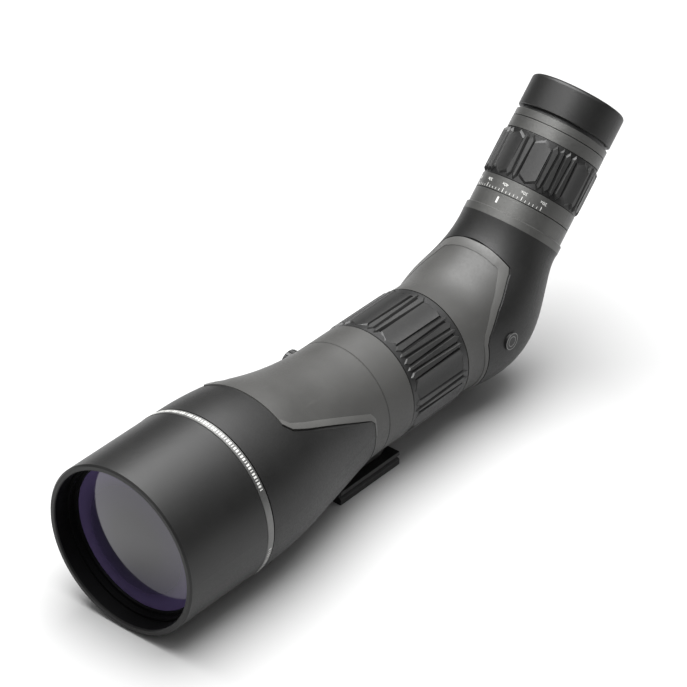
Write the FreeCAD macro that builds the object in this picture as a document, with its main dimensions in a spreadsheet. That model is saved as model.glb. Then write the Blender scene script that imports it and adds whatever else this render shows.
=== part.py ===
import FreeCAD, Part
import math
import os
import re
import Sketcher

# Angled 80 mm spotting scope: a tube on a rotating tripod collar, a roof prism in the elbow and a
# zoom eyepiece at 45 degrees. Millimetres. +Z is up and the objective faces -Y. The origin is the
# mouth of the tripod thread, in the middle of the foot's underside.
#
# Stations along the tube count rearwards from the sunshade's front rim. Stations along the eyepiece
# count upwards from the bend point, where the two optical axes cross.

Vector = FreeCAD.Vector
Rotation = FreeCAD.Rotation
Placement = FreeCAD.Placement

doc = FreeCAD.newDocument("spotting_scope")
sheet = doc.addObject("Spreadsheet::Sheet", "Sizes")

SIZES = [
    # Fits and gaps shared by every moving pair
    ("running_gap", "0.05", "radial gap of a running fit"),
    ("seam", "0.6", "open joint between outer parts that move past each other"),
    ("ring_seam", "0.4", "open joint beside a turning ring"),
    ("stop_gap", "0.3", "gap left at a travel stop"),
    # Tripod foot and collar
    ("axis_height", "47.9", "tube axis above the foot's underside"),
    ("foot_width", "35", "foot, across the scope"),
    ("foot_length", "48", "foot, along the scope"),
    ("foot_height", "8", "foot, underside to top"),
    ("foot_rail_height", "4", "lower rail of the dovetail"),
    ("foot_top_plate", "2.3", "thickness of the foot's top plate"),
    ("foot_groove_depth", "1.4", "dovetail groove, in from each side"),
    ("thread_radius", "2.55", "tripod thread, bore at the crests"),
    ("thread_depth", "6.5", "tripod thread depth"),
    ("insert_radius", "4.2", "steel thread insert"),
    ("anti_twist_radius", "2.3", "pin hole beside the tripod thread"),
    ("anti_twist_depth", "5", "pin hole depth"),
    ("anti_twist_offset", "14", "pin hole, forward of the thread"),
    ("foot_screw_radius", "2", "foot screw shank"),
    ("foot_screw_head", "3.4", "foot screw head radius"),
    ("foot_screw_head_height", "3.2", "foot screw head height"),
    ("foot_screw_recess", "0.6", "foot screw head below the underside"),
    ("foot_screw_grip", "4.6", "foot screw length inside the collar"),
    ("foot_screw_spread", "7.5", "foot screws, out from the middle"),
    ("foot_screw_offset", "10.5", "foot screws, behind the thread"),
    ("collar_station", "167", "front face of the tripod collar"),
    ("foot_setback", "4", "foot's middle behind the collar's front face"),
    ("foot_station", "=collar_station + foot_setback", "tube station of the foot's middle"),
    ("collar_length", "20", "tripod collar, along the tube"),
    ("waist_radius", "33.4", "outside of the tripod collar"),
    ("collar_edge", "0.5", "collar edge chamfer"),
    ("pedestal_width", "24", "collar pedestal where it meets the foot"),
    ("pedestal_shoulder", "17", "collar pedestal half width at the ring"),
    ("neck_radius", "30", "bearing neck that turns in the collar"),
    ("neck_wall", "2.4", "wall of the bearing neck"),
    ("neck_bore", "=neck_radius - neck_wall", "inside of the bearing neck"),
    ("retainer_length", "2", "ring that keeps the collar on the neck"),
    ("retainer_radius", "31.5", "outside of that ring"),
    ("neck_end", "=collar_station + collar_length + retainer_length + 0.1", "end of the bearing neck"),
    # Collar lock
    ("boss_radius", "8.6", "lock boss on the collar"),
    ("boss_reach", "36.6", "lock boss face from the tube axis"),
    ("stem_radius", "2.5", "lock stem"),
    ("stem_flange_radius", "3.5", "flange that keeps the stem in the collar"),
    ("stem_flange_height", "0.65", "thickness of that flange"),
    ("shoe_side", "10", "brake shoe, square side"),
    ("shoe_reach", "32.35", "brake shoe back from the tube axis"),
    ("shoe_pocket", "34", "brake pocket floor from the tube axis"),
    ("knob_radius", "7", "lock knob"),
    ("knob_height", "7.1", "lock knob length"),
    ("knob_seam", "0.3", "gap under the lock knob"),
    ("knob_edge", "0.8", "lock knob edge chamfer"),
    ("knob_flutes", "18", "flutes round the lock knob"),
    # Sunshade
    ("rim_radius", "47.1", "outside of the sunshade rubber"),
    ("shade_length", "60.7", "sunshade, rim to rear edge"),
    ("shade_travel", "32", "sunshade slide forward"),
    ("shade_rubber_wall", "0.7", "sunshade rubber"),
    ("shade_wall", "2.5", "sunshade sleeve wall"),
    ("shade_rim", "1.2", "rubber over the front rim"),
    ("shade_lip", "0.55", "step between the two sliding lands"),
    ("band_width", "4.3", "bare metal band behind the rubber"),
    ("band_proud", "0.2", "band above the rubber"),
    ("shade_radius", "=rim_radius - shade_rubber_wall", "outside of the sunshade sleeve"),
    ("shade_bore", "=shade_radius - shade_wall", "inside of the sunshade sleeve"),
    ("lip_bore", "=shade_bore - shade_lip", "inside of the sleeve's rear land"),
    # Objective barrel and cell
    ("barrel_station", "9", "front edge of the objective barrel"),
    ("barrel_land", "11", "front sliding land of the barrel"),
    ("barrel_wall", "0.9", "barrel wall behind the land"),
    ("barrel_seat", "15", "barrel length screwed into the body"),
    ("barrel_radius", "=lip_bore - running_gap", "outside of the barrel behind the land"),
    ("barrel_bore", "=barrel_radius - barrel_wall", "inside of the barrel"),
    ("cell_setback", "3.6", "objective cell behind the barrel's edge"),
    ("cell_wall", "1.2", "objective cell wall"),
    ("cell_bore", "=barrel_bore - cell_wall", "lens seat radius"),
    ("cell_station", "=barrel_station + cell_setback", "front of the objective cell"),
    ("lens_ring_height", "1.4", "ring that holds the front lens"),
    ("lens_ring_lip", "0.9", "front ring over the glass edge"),
    ("front_lens_edge", "3.4", "front lens edge thickness"),
    ("front_lens_curve", "260", "front lens, front face radius"),
    ("lens_spacer_height", "3.2", "spacer between the lenses"),
    ("lens_spacer_wall", "2.7", "spacer wall"),
    ("rear_lens_edge", "6", "rear lens edge thickness"),
    ("rear_lens_curve", "600", "rear lens, hollow face radius"),
    ("cell_shelf", "6", "cell shelf behind the lenses"),
    ("cell_shelf_lip", "2.7", "cell shelf under the glass edge"),
    ("glass_station", "=cell_station + lens_ring_height", "front lens edge"),
    ("spacer_station", "=glass_station + front_lens_edge", "front of the spacer"),
    ("rear_glass_station", "=spacer_station + lens_spacer_height", "rear lens edge"),
    ("shelf_station", "=rear_glass_station + rear_lens_edge", "front of the cell shelf"),
    # Body casting and its rubber armour
    ("body_station", "=shade_length + seam", "front edge of the body"),
    ("armor_wall", "1.7", "armour over the front of the body"),
    ("casting_radius", "=rim_radius - armor_wall", "body casting at the front"),
    ("casting_straight", "18.7", "straight front stretch of the casting"),
    ("casting_turn", "49", "casting flank: convex to hollow, from its front"),
    ("casting_rear", "=collar_station - ring_seam", "rear shoulder of the casting"),
    ("casting_wall", "2.8", "body casting wall"),
    ("armor_straight", "4.7", "straight front stretch of the armour"),
    ("armor_turn", "44.7", "armour flank: round to straight, from its front"),
    ("armor_tail", "12.5", "armour ends this far ahead of the collar"),
    ("armor_tail_proud", "0.9", "armour above the waist at its rear edge"),
    ("armor_rear", "=collar_station - armor_tail", "rear edge of the armour"),
    ("panel_front", "30.1", "panel's front edge from the body's front"),
    ("panel_crown", "37", "panel's front corner above the axis"),
    ("panel_corner", "3.8", "panel corner, cut back along the tube"),
    ("panel_corner_drop", "3.5", "panel corner, cut down"),
    ("panel_tail", "9.9", "panel's lower corner above the axis"),
    ("baffle_station", "118", "stray light ring in the body"),
    ("baffle_thickness", "1.2", "stray light ring"),
    ("baffle_hole", "27", "opening of the stray light ring"),
    ("bore_front", "5.7", "body bore straight behind the barrel seat"),
    # Focus drive
    ("focus_station", "=collar_station + collar_length + 0.5", "front of the focus ring"),
    ("focus_length", "45.1", "focus ring"),
    ("focus_rear", "=focus_station + focus_length", "rear of the focus ring"),
    ("guide_step", "0.6", "guide tube inside the bearing neck's surface"),
    ("focus_guide_radius", "=neck_radius - guide_step", "fixed guide tube under the focus ring"),
    ("focus_guide_wall", "3", "guide tube wall"),
    ("focus_guide_bore", "=focus_guide_radius - focus_guide_wall", "inside of the guide tube"),
    ("focus_core_radius", "32.2", "focus ring under its grip"),
    ("focus_lip", "0.8", "focus ring end lips above the core"),
    ("focus_lip_width", "4.4", "focus ring end lips along the tube"),
    ("focus_grip_radius", "33.8", "focus grip at its lands"),
    ("focus_mouth_radius", "31.9", "focus ring mouth over the collar retainer"),
    ("focus_pitch", "10", "focus groove rise per turn"),
    ("focus_turns", "1.5", "focus ring, stop to stop"),
    ("focus_pin_radius", "2", "focus drive pin"),
    ("focus_pin_reach", "30.9", "focus drive pin tip from the axis"),
    ("focus_groove_bottom", "31.2", "focus groove floor from the axis"),
    ("focus_groove_gap", "0.2", "groove wider than the pin, each side"),
    ("carriage_length", "22", "focus lens carriage"),
    ("carriage_wall", "2", "focus lens carriage wall"),
    ("carriage_shelf", "1.8", "carriage shelf under the focus lens"),
    ("focus_lens_edge", "5", "focus lens edge thickness"),
    ("focus_lens_curve", "95", "focus lens, hollow face radius"),
    ("carriage_radius", "=focus_guide_bore - running_gap", "outside of the focus carriage"),
    ("drive_station", "=focus_station + focus_length * 0.52", "focus pin at mid travel"),
    ("grip_groove_width", "1.6", "grooves of both rubber grips"),
    ("grip_groove_depth", "0.7", "grip groove depth"),
    ("focus_grip_grooves", "40", "grooves round the focus grip"),
    ("zoom_grip_grooves", "32", "grooves round the zoom grip"),
    # Elbow housing
    ("housing_station", "=focus_rear + ring_seam", "front of the prism housing"),
    ("bend_lead", "41.9", "bend point behind the focus ring"),
    ("bend_station", "=focus_rear + bend_lead", "tube station of the bend point"),
    ("bend_angle", "45", "eyepiece above the tube"),
    ("bend_reach", "25", "bend starts this far ahead of the bend point"),
    ("elbow_sag", "2.7", "elbow middle below its centre line"),
    ("elbow_armor", "0.9", "armour on the elbow"),
    ("elbow_front_radius", "33.1", "housing at the focus ring"),
    ("elbow_start_radius", "34.0", "housing at the start of the bend"),
    ("elbow_middle_radius", "36.5", "housing at the middle of the bend"),
    ("elbow_end_radius", "31.9", "housing at the end of the bend"),
    ("elbow_top_radius", "28.3", "housing under the eyepiece"),
    ("elbow_wall", "2.4", "housing wall"),
    ("guide_seat", "10", "focus guide tube length in the housing"),
    ("elbow_panel_start", "16.3", "rear armour's front edge behind the focus ring"),
    ("elbow_panel_low", "9", "rear armour corner above the tube axis"),
    ("elbow_panel_rise", "23", "rise of the rear armour's slanted edge"),
    ("elbow_panel_run", "29.2", "run of the rear armour's slanted edge"),
    ("elbow_panel_knee", "12.7", "run of that edge's steeper front stretch"),
    ("elbow_panel_knee_rise", "11.1", "rise of that stretch"),
    ("badge_radius", "5.2", "plain disc on the housing's left side"),
    ("badge_thickness", "2.4", "plain disc thickness"),
    ("badge_reach", "36.6", "plain disc face from the middle plane"),
    ("badge_ahead", "9.3", "plain disc ahead of the bend point"),
    ("badge_station", "=bend_station - badge_ahead", "plain disc, tube station"),
    ("badge_lift", "2", "plain disc above the tube axis"),
    # Roof prism and its frame
    ("prism_rise", "13", "prism apex above the tube axis"),
    ("prism_half_width", "12", "prism, half width"),
    ("cheek_thickness", "2.2", "side cheeks of the prism frame"),
    ("cheek_gap", "0.1", "cement line beside the prism"),
    ("cheek_overhang", "13.5", "cheeks behind the bend point"),
    ("cheek_rear", "=bend_station + cheek_overhang", "rear edge of the cheeks"),
    ("cheek_bottom", "20", "cheeks below the tube axis"),
    ("frame_plate", "2.5", "round plate of the prism frame"),
    ("frame_aperture", "13.2", "light hole of the prism frame"),
    ("clamp_thickness", "1.6", "strap over the prism apex"),
    ("clamp_length", "8", "strap along the tube"),
    ("clamp_screw_radius", "0.8", "strap screw shank"),
    ("clamp_screw_head", "1.5", "strap screw head radius"),
    ("clamp_screw_depth", "4", "strap screw length in the cheek"),
    ("strap_middle", "=bend_station - prism_rise / 2 + 1", "middle of the strap, tube station"),
    # Eyepiece
    ("housing_top", "49.4", "eyepiece station of the housing's top"),
    ("ocular_collar", "4.6", "proud ring on top of the housing"),
    ("ocular_collar_radius", "28.3", "outside of that ring"),
    ("index_length", "8.6", "fixed index ring"),
    ("index_radius", "27.4", "outside of the index and scale rings"),
    ("index_station", "=housing_top + ocular_collar", "bottom of the index ring"),
    ("zoom_station", "=index_station + index_length + ring_seam", "bottom of the zoom ring"),
    ("zoom_scale_length", "8.2", "numbered stretch of the zoom ring"),
    ("zoom_grip_length", "28.1", "rubber grip of the zoom ring"),
    ("zoom_top_length", "6.6", "bare stretch above the grip"),
    ("zoom_core_radius", "26.3", "zoom ring under its grip"),
    ("zoom_grip_radius", "28.3", "zoom grip at its lands"),
    ("zoom_top_radius", "27.2", "zoom ring above its grip"),
    ("zoom_grip_start", "=zoom_station + zoom_scale_length", "bottom of the zoom grip"),
    ("zoom_grip_end", "=zoom_grip_start + zoom_grip_length", "top of the zoom grip"),
    ("zoom_end", "=zoom_grip_end + zoom_top_length", "top of the zoom ring"),
    ("zoom_core_depth", "3.4", "zoom ring and cam sleeve over the eyepiece tube"),
    ("ocular_radius", "=zoom_core_radius - zoom_core_depth", "fixed eyepiece tube"),
    ("ocular_wall", "2.5", "eyepiece tube wall"),
    ("ocular_bore", "=ocular_radius - ocular_wall", "inside of the eyepiece tube"),
    ("ocular_flange_width", "2.5", "foot flange beyond the eyepiece tube"),
    ("ocular_flange", "=ocular_radius + ocular_flange_width", "foot flange of the eyepiece tube"),
    ("ocular_flange_height", "5.4", "foot flange height"),
    ("ocular_neck_step", "1.4", "eyepiece tube's neck inside its lower part"),
    ("ocular_neck_radius", "=ocular_radius - ocular_neck_step", "eyepiece tube inside the eyecup"),
    ("cam_wall", "1.65", "zoom cam sleeve wall"),
    ("cam_radius", "=ocular_radius + running_gap + cam_wall", "outside of the cam sleeve"),
    ("zoom_pitch", "30", "cam slot rise per turn"),
    ("zoom_half_turn", "49", "zoom ring, either side of the middle"),
    ("zoom_pin_radius", "1.5", "zoom drive pins"),
    ("zoom_pin_tip", "0.3", "pin tip short of the zoom ring"),
    ("cam_slot_gap", "0.2", "cam slot wider than the pin, each side"),
    ("cam_overrun", "6", "cam slot past each stop"),
    ("cell_length", "9", "zoom lens cells"),
    ("cell_barrel_wall", "1.85", "zoom lens cell wall"),
    ("zoom_lens_edge", "3", "zoom lens edge thickness"),
    ("zoom_lens_curve", "48", "zoom lens face radius"),
    ("lower_cell", "70.5", "lower zoom cell's middle"),
    ("upper_cell", "90.5", "upper zoom cell's middle"),
    ("field_stop_thickness", "1.2", "field stop"),
    ("field_stop_hole", "11", "field stop opening"),
    ("field_lens_edge", "3", "field lens edge thickness"),
    ("field_lens_curve", "60", "field lens face radius"),
    ("top_ring_length", "4.3", "fixed ring above the zoom ring"),
    ("top_ring_radius", "27.1", "outside of that ring"),
    ("top_ring_floor", "1", "floor of that ring"),
    ("top_ring_station", "=zoom_end + ring_seam", "bottom of that ring"),
    ("top_floor", "=top_ring_station + top_ring_floor", "upper side of its floor"),
    # Eyecup
    ("eyecup_radius", "27.4", "outside of the eyecup"),
    ("eyecup_station", "112.8", "bottom edge of the eyecup rubber"),
    ("eyecup_length", "18.6", "eyecup rubber"),
    ("eyecup_round", "2.2", "rounded top edge of the eyecup"),
    ("eyecup_lap", "3", "eyecup reaching in over the eyepiece tube's neck"),
    ("eyecup_mouth", "=ocular_neck_radius - eyecup_lap", "opening of the eyecup"),
    ("eyecup_roof", "1.5", "eyecup rubber over its sleeve"),
    ("eyecup_lip", "2", "sleeve's inward lip"),
    ("guide_ring_wall", "1.65", "ring that lifts the eyecup"),
    ("guide_ring_length", "13.2", "length of that ring"),
    ("sleeve_wall", "1.5", "eyecup sleeve wall"),
    ("skirt_gap", "0.4", "eyecup skirt inside the top ring"),
    ("key_width", "3", "key between guide ring and eyecup"),
    ("key_height", "0.9", "key above the guide ring"),
    ("guide_bore", "=ocular_neck_radius + running_gap", "inside of the guide ring"),
    ("guide_radius", "=guide_bore + guide_ring_wall", "outside of the guide ring"),
    ("sleeve_bore", "=guide_radius + running_gap", "inside of the eyecup sleeve"),
    ("sleeve_radius", "=sleeve_bore + sleeve_wall", "outside of the eyecup sleeve"),
    ("guide_station", "=top_floor + stop_gap", "bottom of the guide ring"),
    ("guide_top", "=guide_station + guide_ring_length", "top of the guide ring"),
    ("neck_cap_height", "2", "ring that keeps the guide ring on"),
    ("neck_cap_inset", "0.35", "that ring inside the sleeve bore"),
    ("ocular_top", "=guide_top + stop_gap + neck_cap_height", "top of the eyepiece tube"),
    ("eye_seat_wall", "2.1", "wall of the neck round the eye lens"),
    ("eye_lens_radius", "=ocular_neck_radius - eye_seat_wall", "eye lens"),
    ("eye_lens_edge", "6", "eye lens edge thickness"),
    ("eye_lens_curve", "52", "eye lens face radius"),
    ("eye_ring_height", "1.5", "ring over the eye lens"),
    ("eye_ring_lip", "2.9", "eye ring over the glass edge"),
]


def fill_sheet():
    """One row per size: its name, its value or formula, and what it measures."""
    for row, (name, value, note) in enumerate(SIZES, start=1):
        sheet.set(f"A{row}", name)
        sheet.set(f"B{row}", value)
        sheet.setAlias(f"B{row}", name)
        sheet.set(f"C{row}", note)
    doc.recompute()


def size(name):
    """A size's present value in the sheet."""
    return float(getattr(sheet, name))


def bound(expression):
    """Point each size name in an expression at its cell in the sheet."""
    return re.sub(r"\b[a-z]\w*\b(?!\()", lambda word: "Sizes." + word.group(), expression)


def drive(thing, setting, expression):
    """Tie one property of an object to the sheet."""
    thing.setExpression(setting, bound(expression))


def on_tube():
    """The tube's own frame: +Y rearwards from the front rim."""
    return Placement(Vector(0, -size("foot_station"), size("axis_height")), Rotation())


def on_eyepiece():
    """The eyepiece's own frame: +Y upwards from the bend point."""
    rise = size("bend_station") - size("foot_station")
    return Placement(Vector(0, rise, size("axis_height")), Rotation(Vector(1, 0, 0), size("bend_angle")))


def spun(placement, degrees):
    """The same frame, turned about its own +Y."""
    return placement * Placement(Vector(0, 0, 0), Rotation(Vector(0, 1, 0), degrees))


def shifted(placement, along):
    """The same frame, moved along its own +Y."""
    return placement * Placement(Vector(0, along, 0), Rotation())


def new_body(label):
    body = doc.addObject("PartDesign::Body", label)
    body.Label = label
    return body


def new_sketch(body, name, plane="XY_Plane", offset=None):
    """Sketch on one of the body's own planes."""
    sketch = body.newObject("Sketcher::SketchObject", name)
    for feature in body.Origin.OriginFeatures:
        if feature.Role == plane:
            sketch.AttachmentSupport = [(feature, "")]
    sketch.MapMode = "FlatFace"
    if offset is not None:
        sketch.AttachmentOffset = offset
    return sketch


def hold(sketch, kind, geometry, point, expression, now=1.0):
    """Hold one sketch point at a driven distance from the sketch's origin."""
    index = sketch.addConstraint(Sketcher.Constraint(kind, -1, 1, geometry, point, now))
    drive(sketch, f"Constraints[{index}]", expression)


def outline(body, name, corners, plane="XY_Plane", offset=None):
    """Closed sketch with straight sides, each corner held by two expressions."""
    sketch = new_sketch(body, name, plane, offset)
    count = len(corners)
    turn = 2 * math.pi / count
    start = [Vector(math.cos(turn * k), math.sin(turn * k), 0) for k in range(count)]
    for k in range(count):
        sketch.addGeometry(Part.LineSegment(start[k], start[(k + 1) % count]))
    for k in range(count):
        sketch.addConstraint(Sketcher.Constraint("Coincident", k, 2, (k + 1) % count, 1))
    for k, (across, along) in enumerate(corners):
        hold(sketch, "DistanceX", k, 1, across)
        hold(sketch, "DistanceY", k, 1, along)
    return sketch


def revolve(body, sketch):
    """Turn a sketch round its own vertical axis."""
    feature = body.newObject("PartDesign::Revolution", sketch.Name + "_turned")
    feature.Profile = sketch
    feature.ReferenceAxis = (sketch, ["V_Axis"])
    feature.Angle = 360
    body.Tip = feature
    return feature


def ring(label, placement, corners):
    """Turned part: corners are (radius, station) pairs in the frame's own +Y."""
    body = new_body(label)
    revolve(body, outline(body, label + "_profile", corners))
    body.Placement = placement
    return body


def tube(label, placement, inner, outer, start, stop):
    """Plain turned ring with a square section."""
    return ring(label, placement, [(inner, start), (outer, start), (outer, stop), (inner, stop)])


def pad(body, sketch, length):
    """Raise a sketch equally to both sides of its plane."""
    feature = body.newObject("PartDesign::Pad", sketch.Name + "_pad")
    feature.Profile = sketch
    feature.SideType = "Symmetric"
    drive(feature, "Length", length)
    body.Tip = feature
    return feature


def pocket(body, sketch, length, both=False, back=False):
    """Cut a sketch into the body."""
    feature = body.newObject("PartDesign::Pocket", sketch.Name + "_cut")
    feature.Profile = sketch
    if both:
        feature.SideType = "Symmetric"
    feature.Reversed = back
    drive(feature, "Length", length)
    body.Tip = feature
    return feature


def round_array(body, feature, sketch, count, axis="V_Axis"):
    """Repeat a cut evenly round an axis of its sketch."""
    pattern = body.newObject("PartDesign::PolarPattern", sketch.Name + "_round")
    pattern.Originals = [feature]
    pattern.Axis = (sketch, [axis])
    pattern.Angle = 360
    drive(pattern, "Occurrences", count)
    body.Tip = pattern
    return pattern


def circle_sketch(body, name, plane, radius, across="0", along="0", offset=None):
    """Sketch holding one circle."""
    sketch = new_sketch(body, name, plane, offset)
    sketch.addGeometry(Part.Circle(Vector(1, 1, 0), Vector(0, 0, 1), 1))
    index = sketch.addConstraint(Sketcher.Constraint("Radius", 0, 1.0))
    drive(sketch, f"Constraints[{index}]", radius)
    hold(sketch, "DistanceX", 0, 3, across)
    hold(sketch, "DistanceY", 0, 3, along)
    return sketch


def cut(label, base, tool, placement=None):
    """Boolean difference of two objects."""
    result = doc.addObject("Part::Cut", label)
    result.Base = base
    result.Tool = tool
    result.Label = label
    if placement is not None:
        result.Placement = placement
    return result


def common(label, shapes, placement=None):
    """Boolean intersection of several objects."""
    result = doc.addObject("Part::MultiCommon", label)
    result.Shapes = shapes
    result.Label = label
    if placement is not None:
        result.Placement = placement
    return result


def rod(name, radius, length, start="0", across="0", along="0", axis=Vector(0, 1, 0)):
    """Cylinder in its user's frame; start, across and along are its base's Y, X and Z."""
    cylinder = doc.addObject("Part::Cylinder", name)
    drive(cylinder, "Radius", radius)
    drive(cylinder, "Height", length)
    cylinder.Placement = Placement(Vector(0, 0, 0), Rotation(Vector(0, 0, 1), axis))
    drive(cylinder, "Placement.Base.x", across)
    drive(cylinder, "Placement.Base.y", start)
    drive(cylinder, "Placement.Base.z", along)
    return cylinder


def block(name, low, high):
    """Box between two corners, each given by three expressions."""
    box = doc.addObject("Part::Box", name)
    for side, setting in enumerate(("Length", "Width", "Height")):
        drive(box, setting, f"({high[side]}) - ({low[side]})")
    for side, setting in enumerate("xyz"):
        drive(box, f"Placement.Base.{setting}", low[side])
    return box


def ball(name, curve, centre):
    """Sphere on the optical axis, for one lens face."""
    sphere = doc.addObject("Part::Sphere", name)
    drive(sphere, "Radius", curve)
    drive(sphere, "Placement.Base.y", centre)
    return sphere


def lens(label, placement, radius, station, edge, front=None, rear=None, hollow=None):
    """Disc of glass. front and rear are outward face radii; hollow is an inward front face."""
    room_ahead = f"({radius}) / 3" if front else "0"
    room_behind = f"({radius}) / 3" if rear else "0"
    start = f"{station} - {room_ahead}"
    body = rod(label + "_blank", radius, f"{edge} + {room_ahead} + {room_behind}", start)
    parts = [body]
    if front:
        parts.append(ball(label + "_front", front, f"{station} + sqrt({front}^2 - ({radius})^2)"))
    if rear:
        parts.append(ball(label + "_rear", rear, f"{station} + {edge} - sqrt({rear}^2 - ({radius})^2)"))
    glass = common(label if hollow is None else label + "_disc", parts) if len(parts) > 1 else body
    if hollow:
        scoop = ball(label + "_scoop", hollow, f"{station} - sqrt({hollow}^2 - ({radius})^2)")
        glass = cut(label, glass, scoop)
    glass.Placement = placement
    return glass


def helix_groove(body, name, corners, pitch, rise, left_handed=False):
    """Cut a rectangular section along a helix round the body's +Y."""
    sketch = outline(body, name, corners)
    groove = body.newObject("PartDesign::SubtractiveHelix", name + "_helix")
    groove.Profile = sketch
    groove.ReferenceAxis = (sketch, ["V_Axis"])
    groove.Mode = "pitch-height-angle"
    groove.LeftHanded = left_handed
    drive(groove, "Pitch", pitch)
    drive(groove, "Height", rise)
    body.Tip = groove
    return groove


def flowing_blank(label, front, straight, turn, tail, front_radius, tail_radius, hollow_tail):
    """Solid of revolution whose flank leaves a straight front stretch in an arc and reaches its tail
    in a second, opposite arc (hollow_tail) or in a straight line."""
    body = new_body(label)
    sketch = new_sketch(body, label + "_flank")
    y_front, y_arc, y_turn, y_tail = (amount(part) for part in (front, straight, turn, tail))
    big, small = amount(front_radius), amount(tail_radius)
    slope = 2 * math.atan((big - small) / (y_tail - y_arc))
    bend = (y_turn - y_arc) / math.sin(slope)
    meet = Vector(big - bend * (1 - math.cos(slope)), y_turn, 0)
    first = Part.Circle(Vector(big - bend, y_arc, 0), Vector(0, 0, 1), bend)
    sketch.addGeometry(Part.LineSegment(Vector(0, y_front, 0), Vector(big, y_front, 0)))
    sketch.addGeometry(Part.LineSegment(Vector(big, y_front, 0), Vector(big, y_arc, 0)))
    sketch.addGeometry(Part.ArcOfCircle(first, 0, slope))
    if hollow_tail:
        back = (y_tail - y_turn) / math.sin(slope)
        second = Part.Circle(Vector(small + back, y_tail, 0), Vector(0, 0, 1), back)
        sketch.addGeometry(Part.ArcOfCircle(second, math.pi, math.pi + slope))
    else:
        sketch.addGeometry(Part.LineSegment(Vector(small, y_tail, 0), meet))
    sketch.addGeometry(Part.LineSegment(Vector(small, y_tail, 0), Vector(0, y_tail, 0)))
    sketch.addGeometry(Part.LineSegment(Vector(0, y_tail, 0), Vector(0, y_front, 0)))
    for pair in ((0, 2, 1, 1), (1, 2, 2, 1), (3, 1, 4, 1), (4, 2, 5, 1), (5, 2, 0, 1)):
        sketch.addConstraint(Sketcher.Constraint("Coincident", *pair))
    sketch.addConstraint(Sketcher.Constraint("Tangent", 2, 2, 3, 2))
    held = [(0, 1, "0", front), (1, 1, front_radius, front), (2, 1, front_radius, straight)]
    held += [(4, 1, tail_radius, tail), (5, 1, "0", tail)]
    for geometry, point, across, along in held:
        hold(sketch, "DistanceX", geometry, point, across, amount(across))
        hold(sketch, "DistanceY", geometry, point, along, amount(along))
    hold(sketch, "DistanceY", 2, 2, turn, y_turn)
    hold(sketch, "DistanceY", 2, 3, straight, y_arc)
    if hollow_tail:
        hold(sketch, "DistanceY", 3, 3, tail, y_tail)
    revolve(body, sketch)
    return body


def amount(expression):
    """Value of a sum of size names and numbers."""
    total = 0.0
    for sign, word in re.findall(r"([+-]?)\s*([\w.]+)", expression):
        value = size(word) if word[0].isalpha() else float(word)
        total += -value if sign == "-" else value
    return total


def elbow(name, radii, start, stop):
    """Solid through five circles round the bend, from a tube station to an eyepiece station."""
    bend = size("bend_station")
    reach = size("bend_reach")
    angle = size("bend_angle")
    curve = reach / math.tan(math.radians(angle / 2))
    arc_start = bend - reach
    stops = [(start, 0, 0, 0)]
    for share, sag in ((0, 0.15), (0.5, 1), (1, 0.35)):
        turned = math.radians(angle * share)
        along = arc_start + curve * math.sin(turned)
        stops.append((along, curve * (1 - math.cos(turned)), angle * share, sag * size("elbow_sag")))
    top = math.radians(angle)
    stops.append((bend + stop * math.cos(top), stop * math.sin(top), angle, 0))
    circles = []
    for k, (along, up, degrees, sag) in enumerate(stops):
        turned = math.radians(degrees)
        circle = doc.addObject("Part::Circle", f"{name}_section_{k}")
        drive(circle, "Radius", radii[k])
        centre = Vector(0, along + sag * math.sin(turned), up - sag * math.cos(turned))
        circle.Placement = Placement(centre, Rotation(Vector(1, 0, 0), degrees - 90))
        circles.append(circle)
    loft = doc.addObject("Part::Loft", name)
    loft.Sections = circles
    loft.Solid = True
    return loft


def elbow_radii(inset):
    """The elbow's five radii, all smaller by the same inset."""
    places = ("front", "start", "middle", "end", "top")
    return [f"elbow_{place}_radius - ({inset})" for place in places]


# --- Tripod collar and foot: the part that stays on the tripod -----------------------------------

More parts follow.
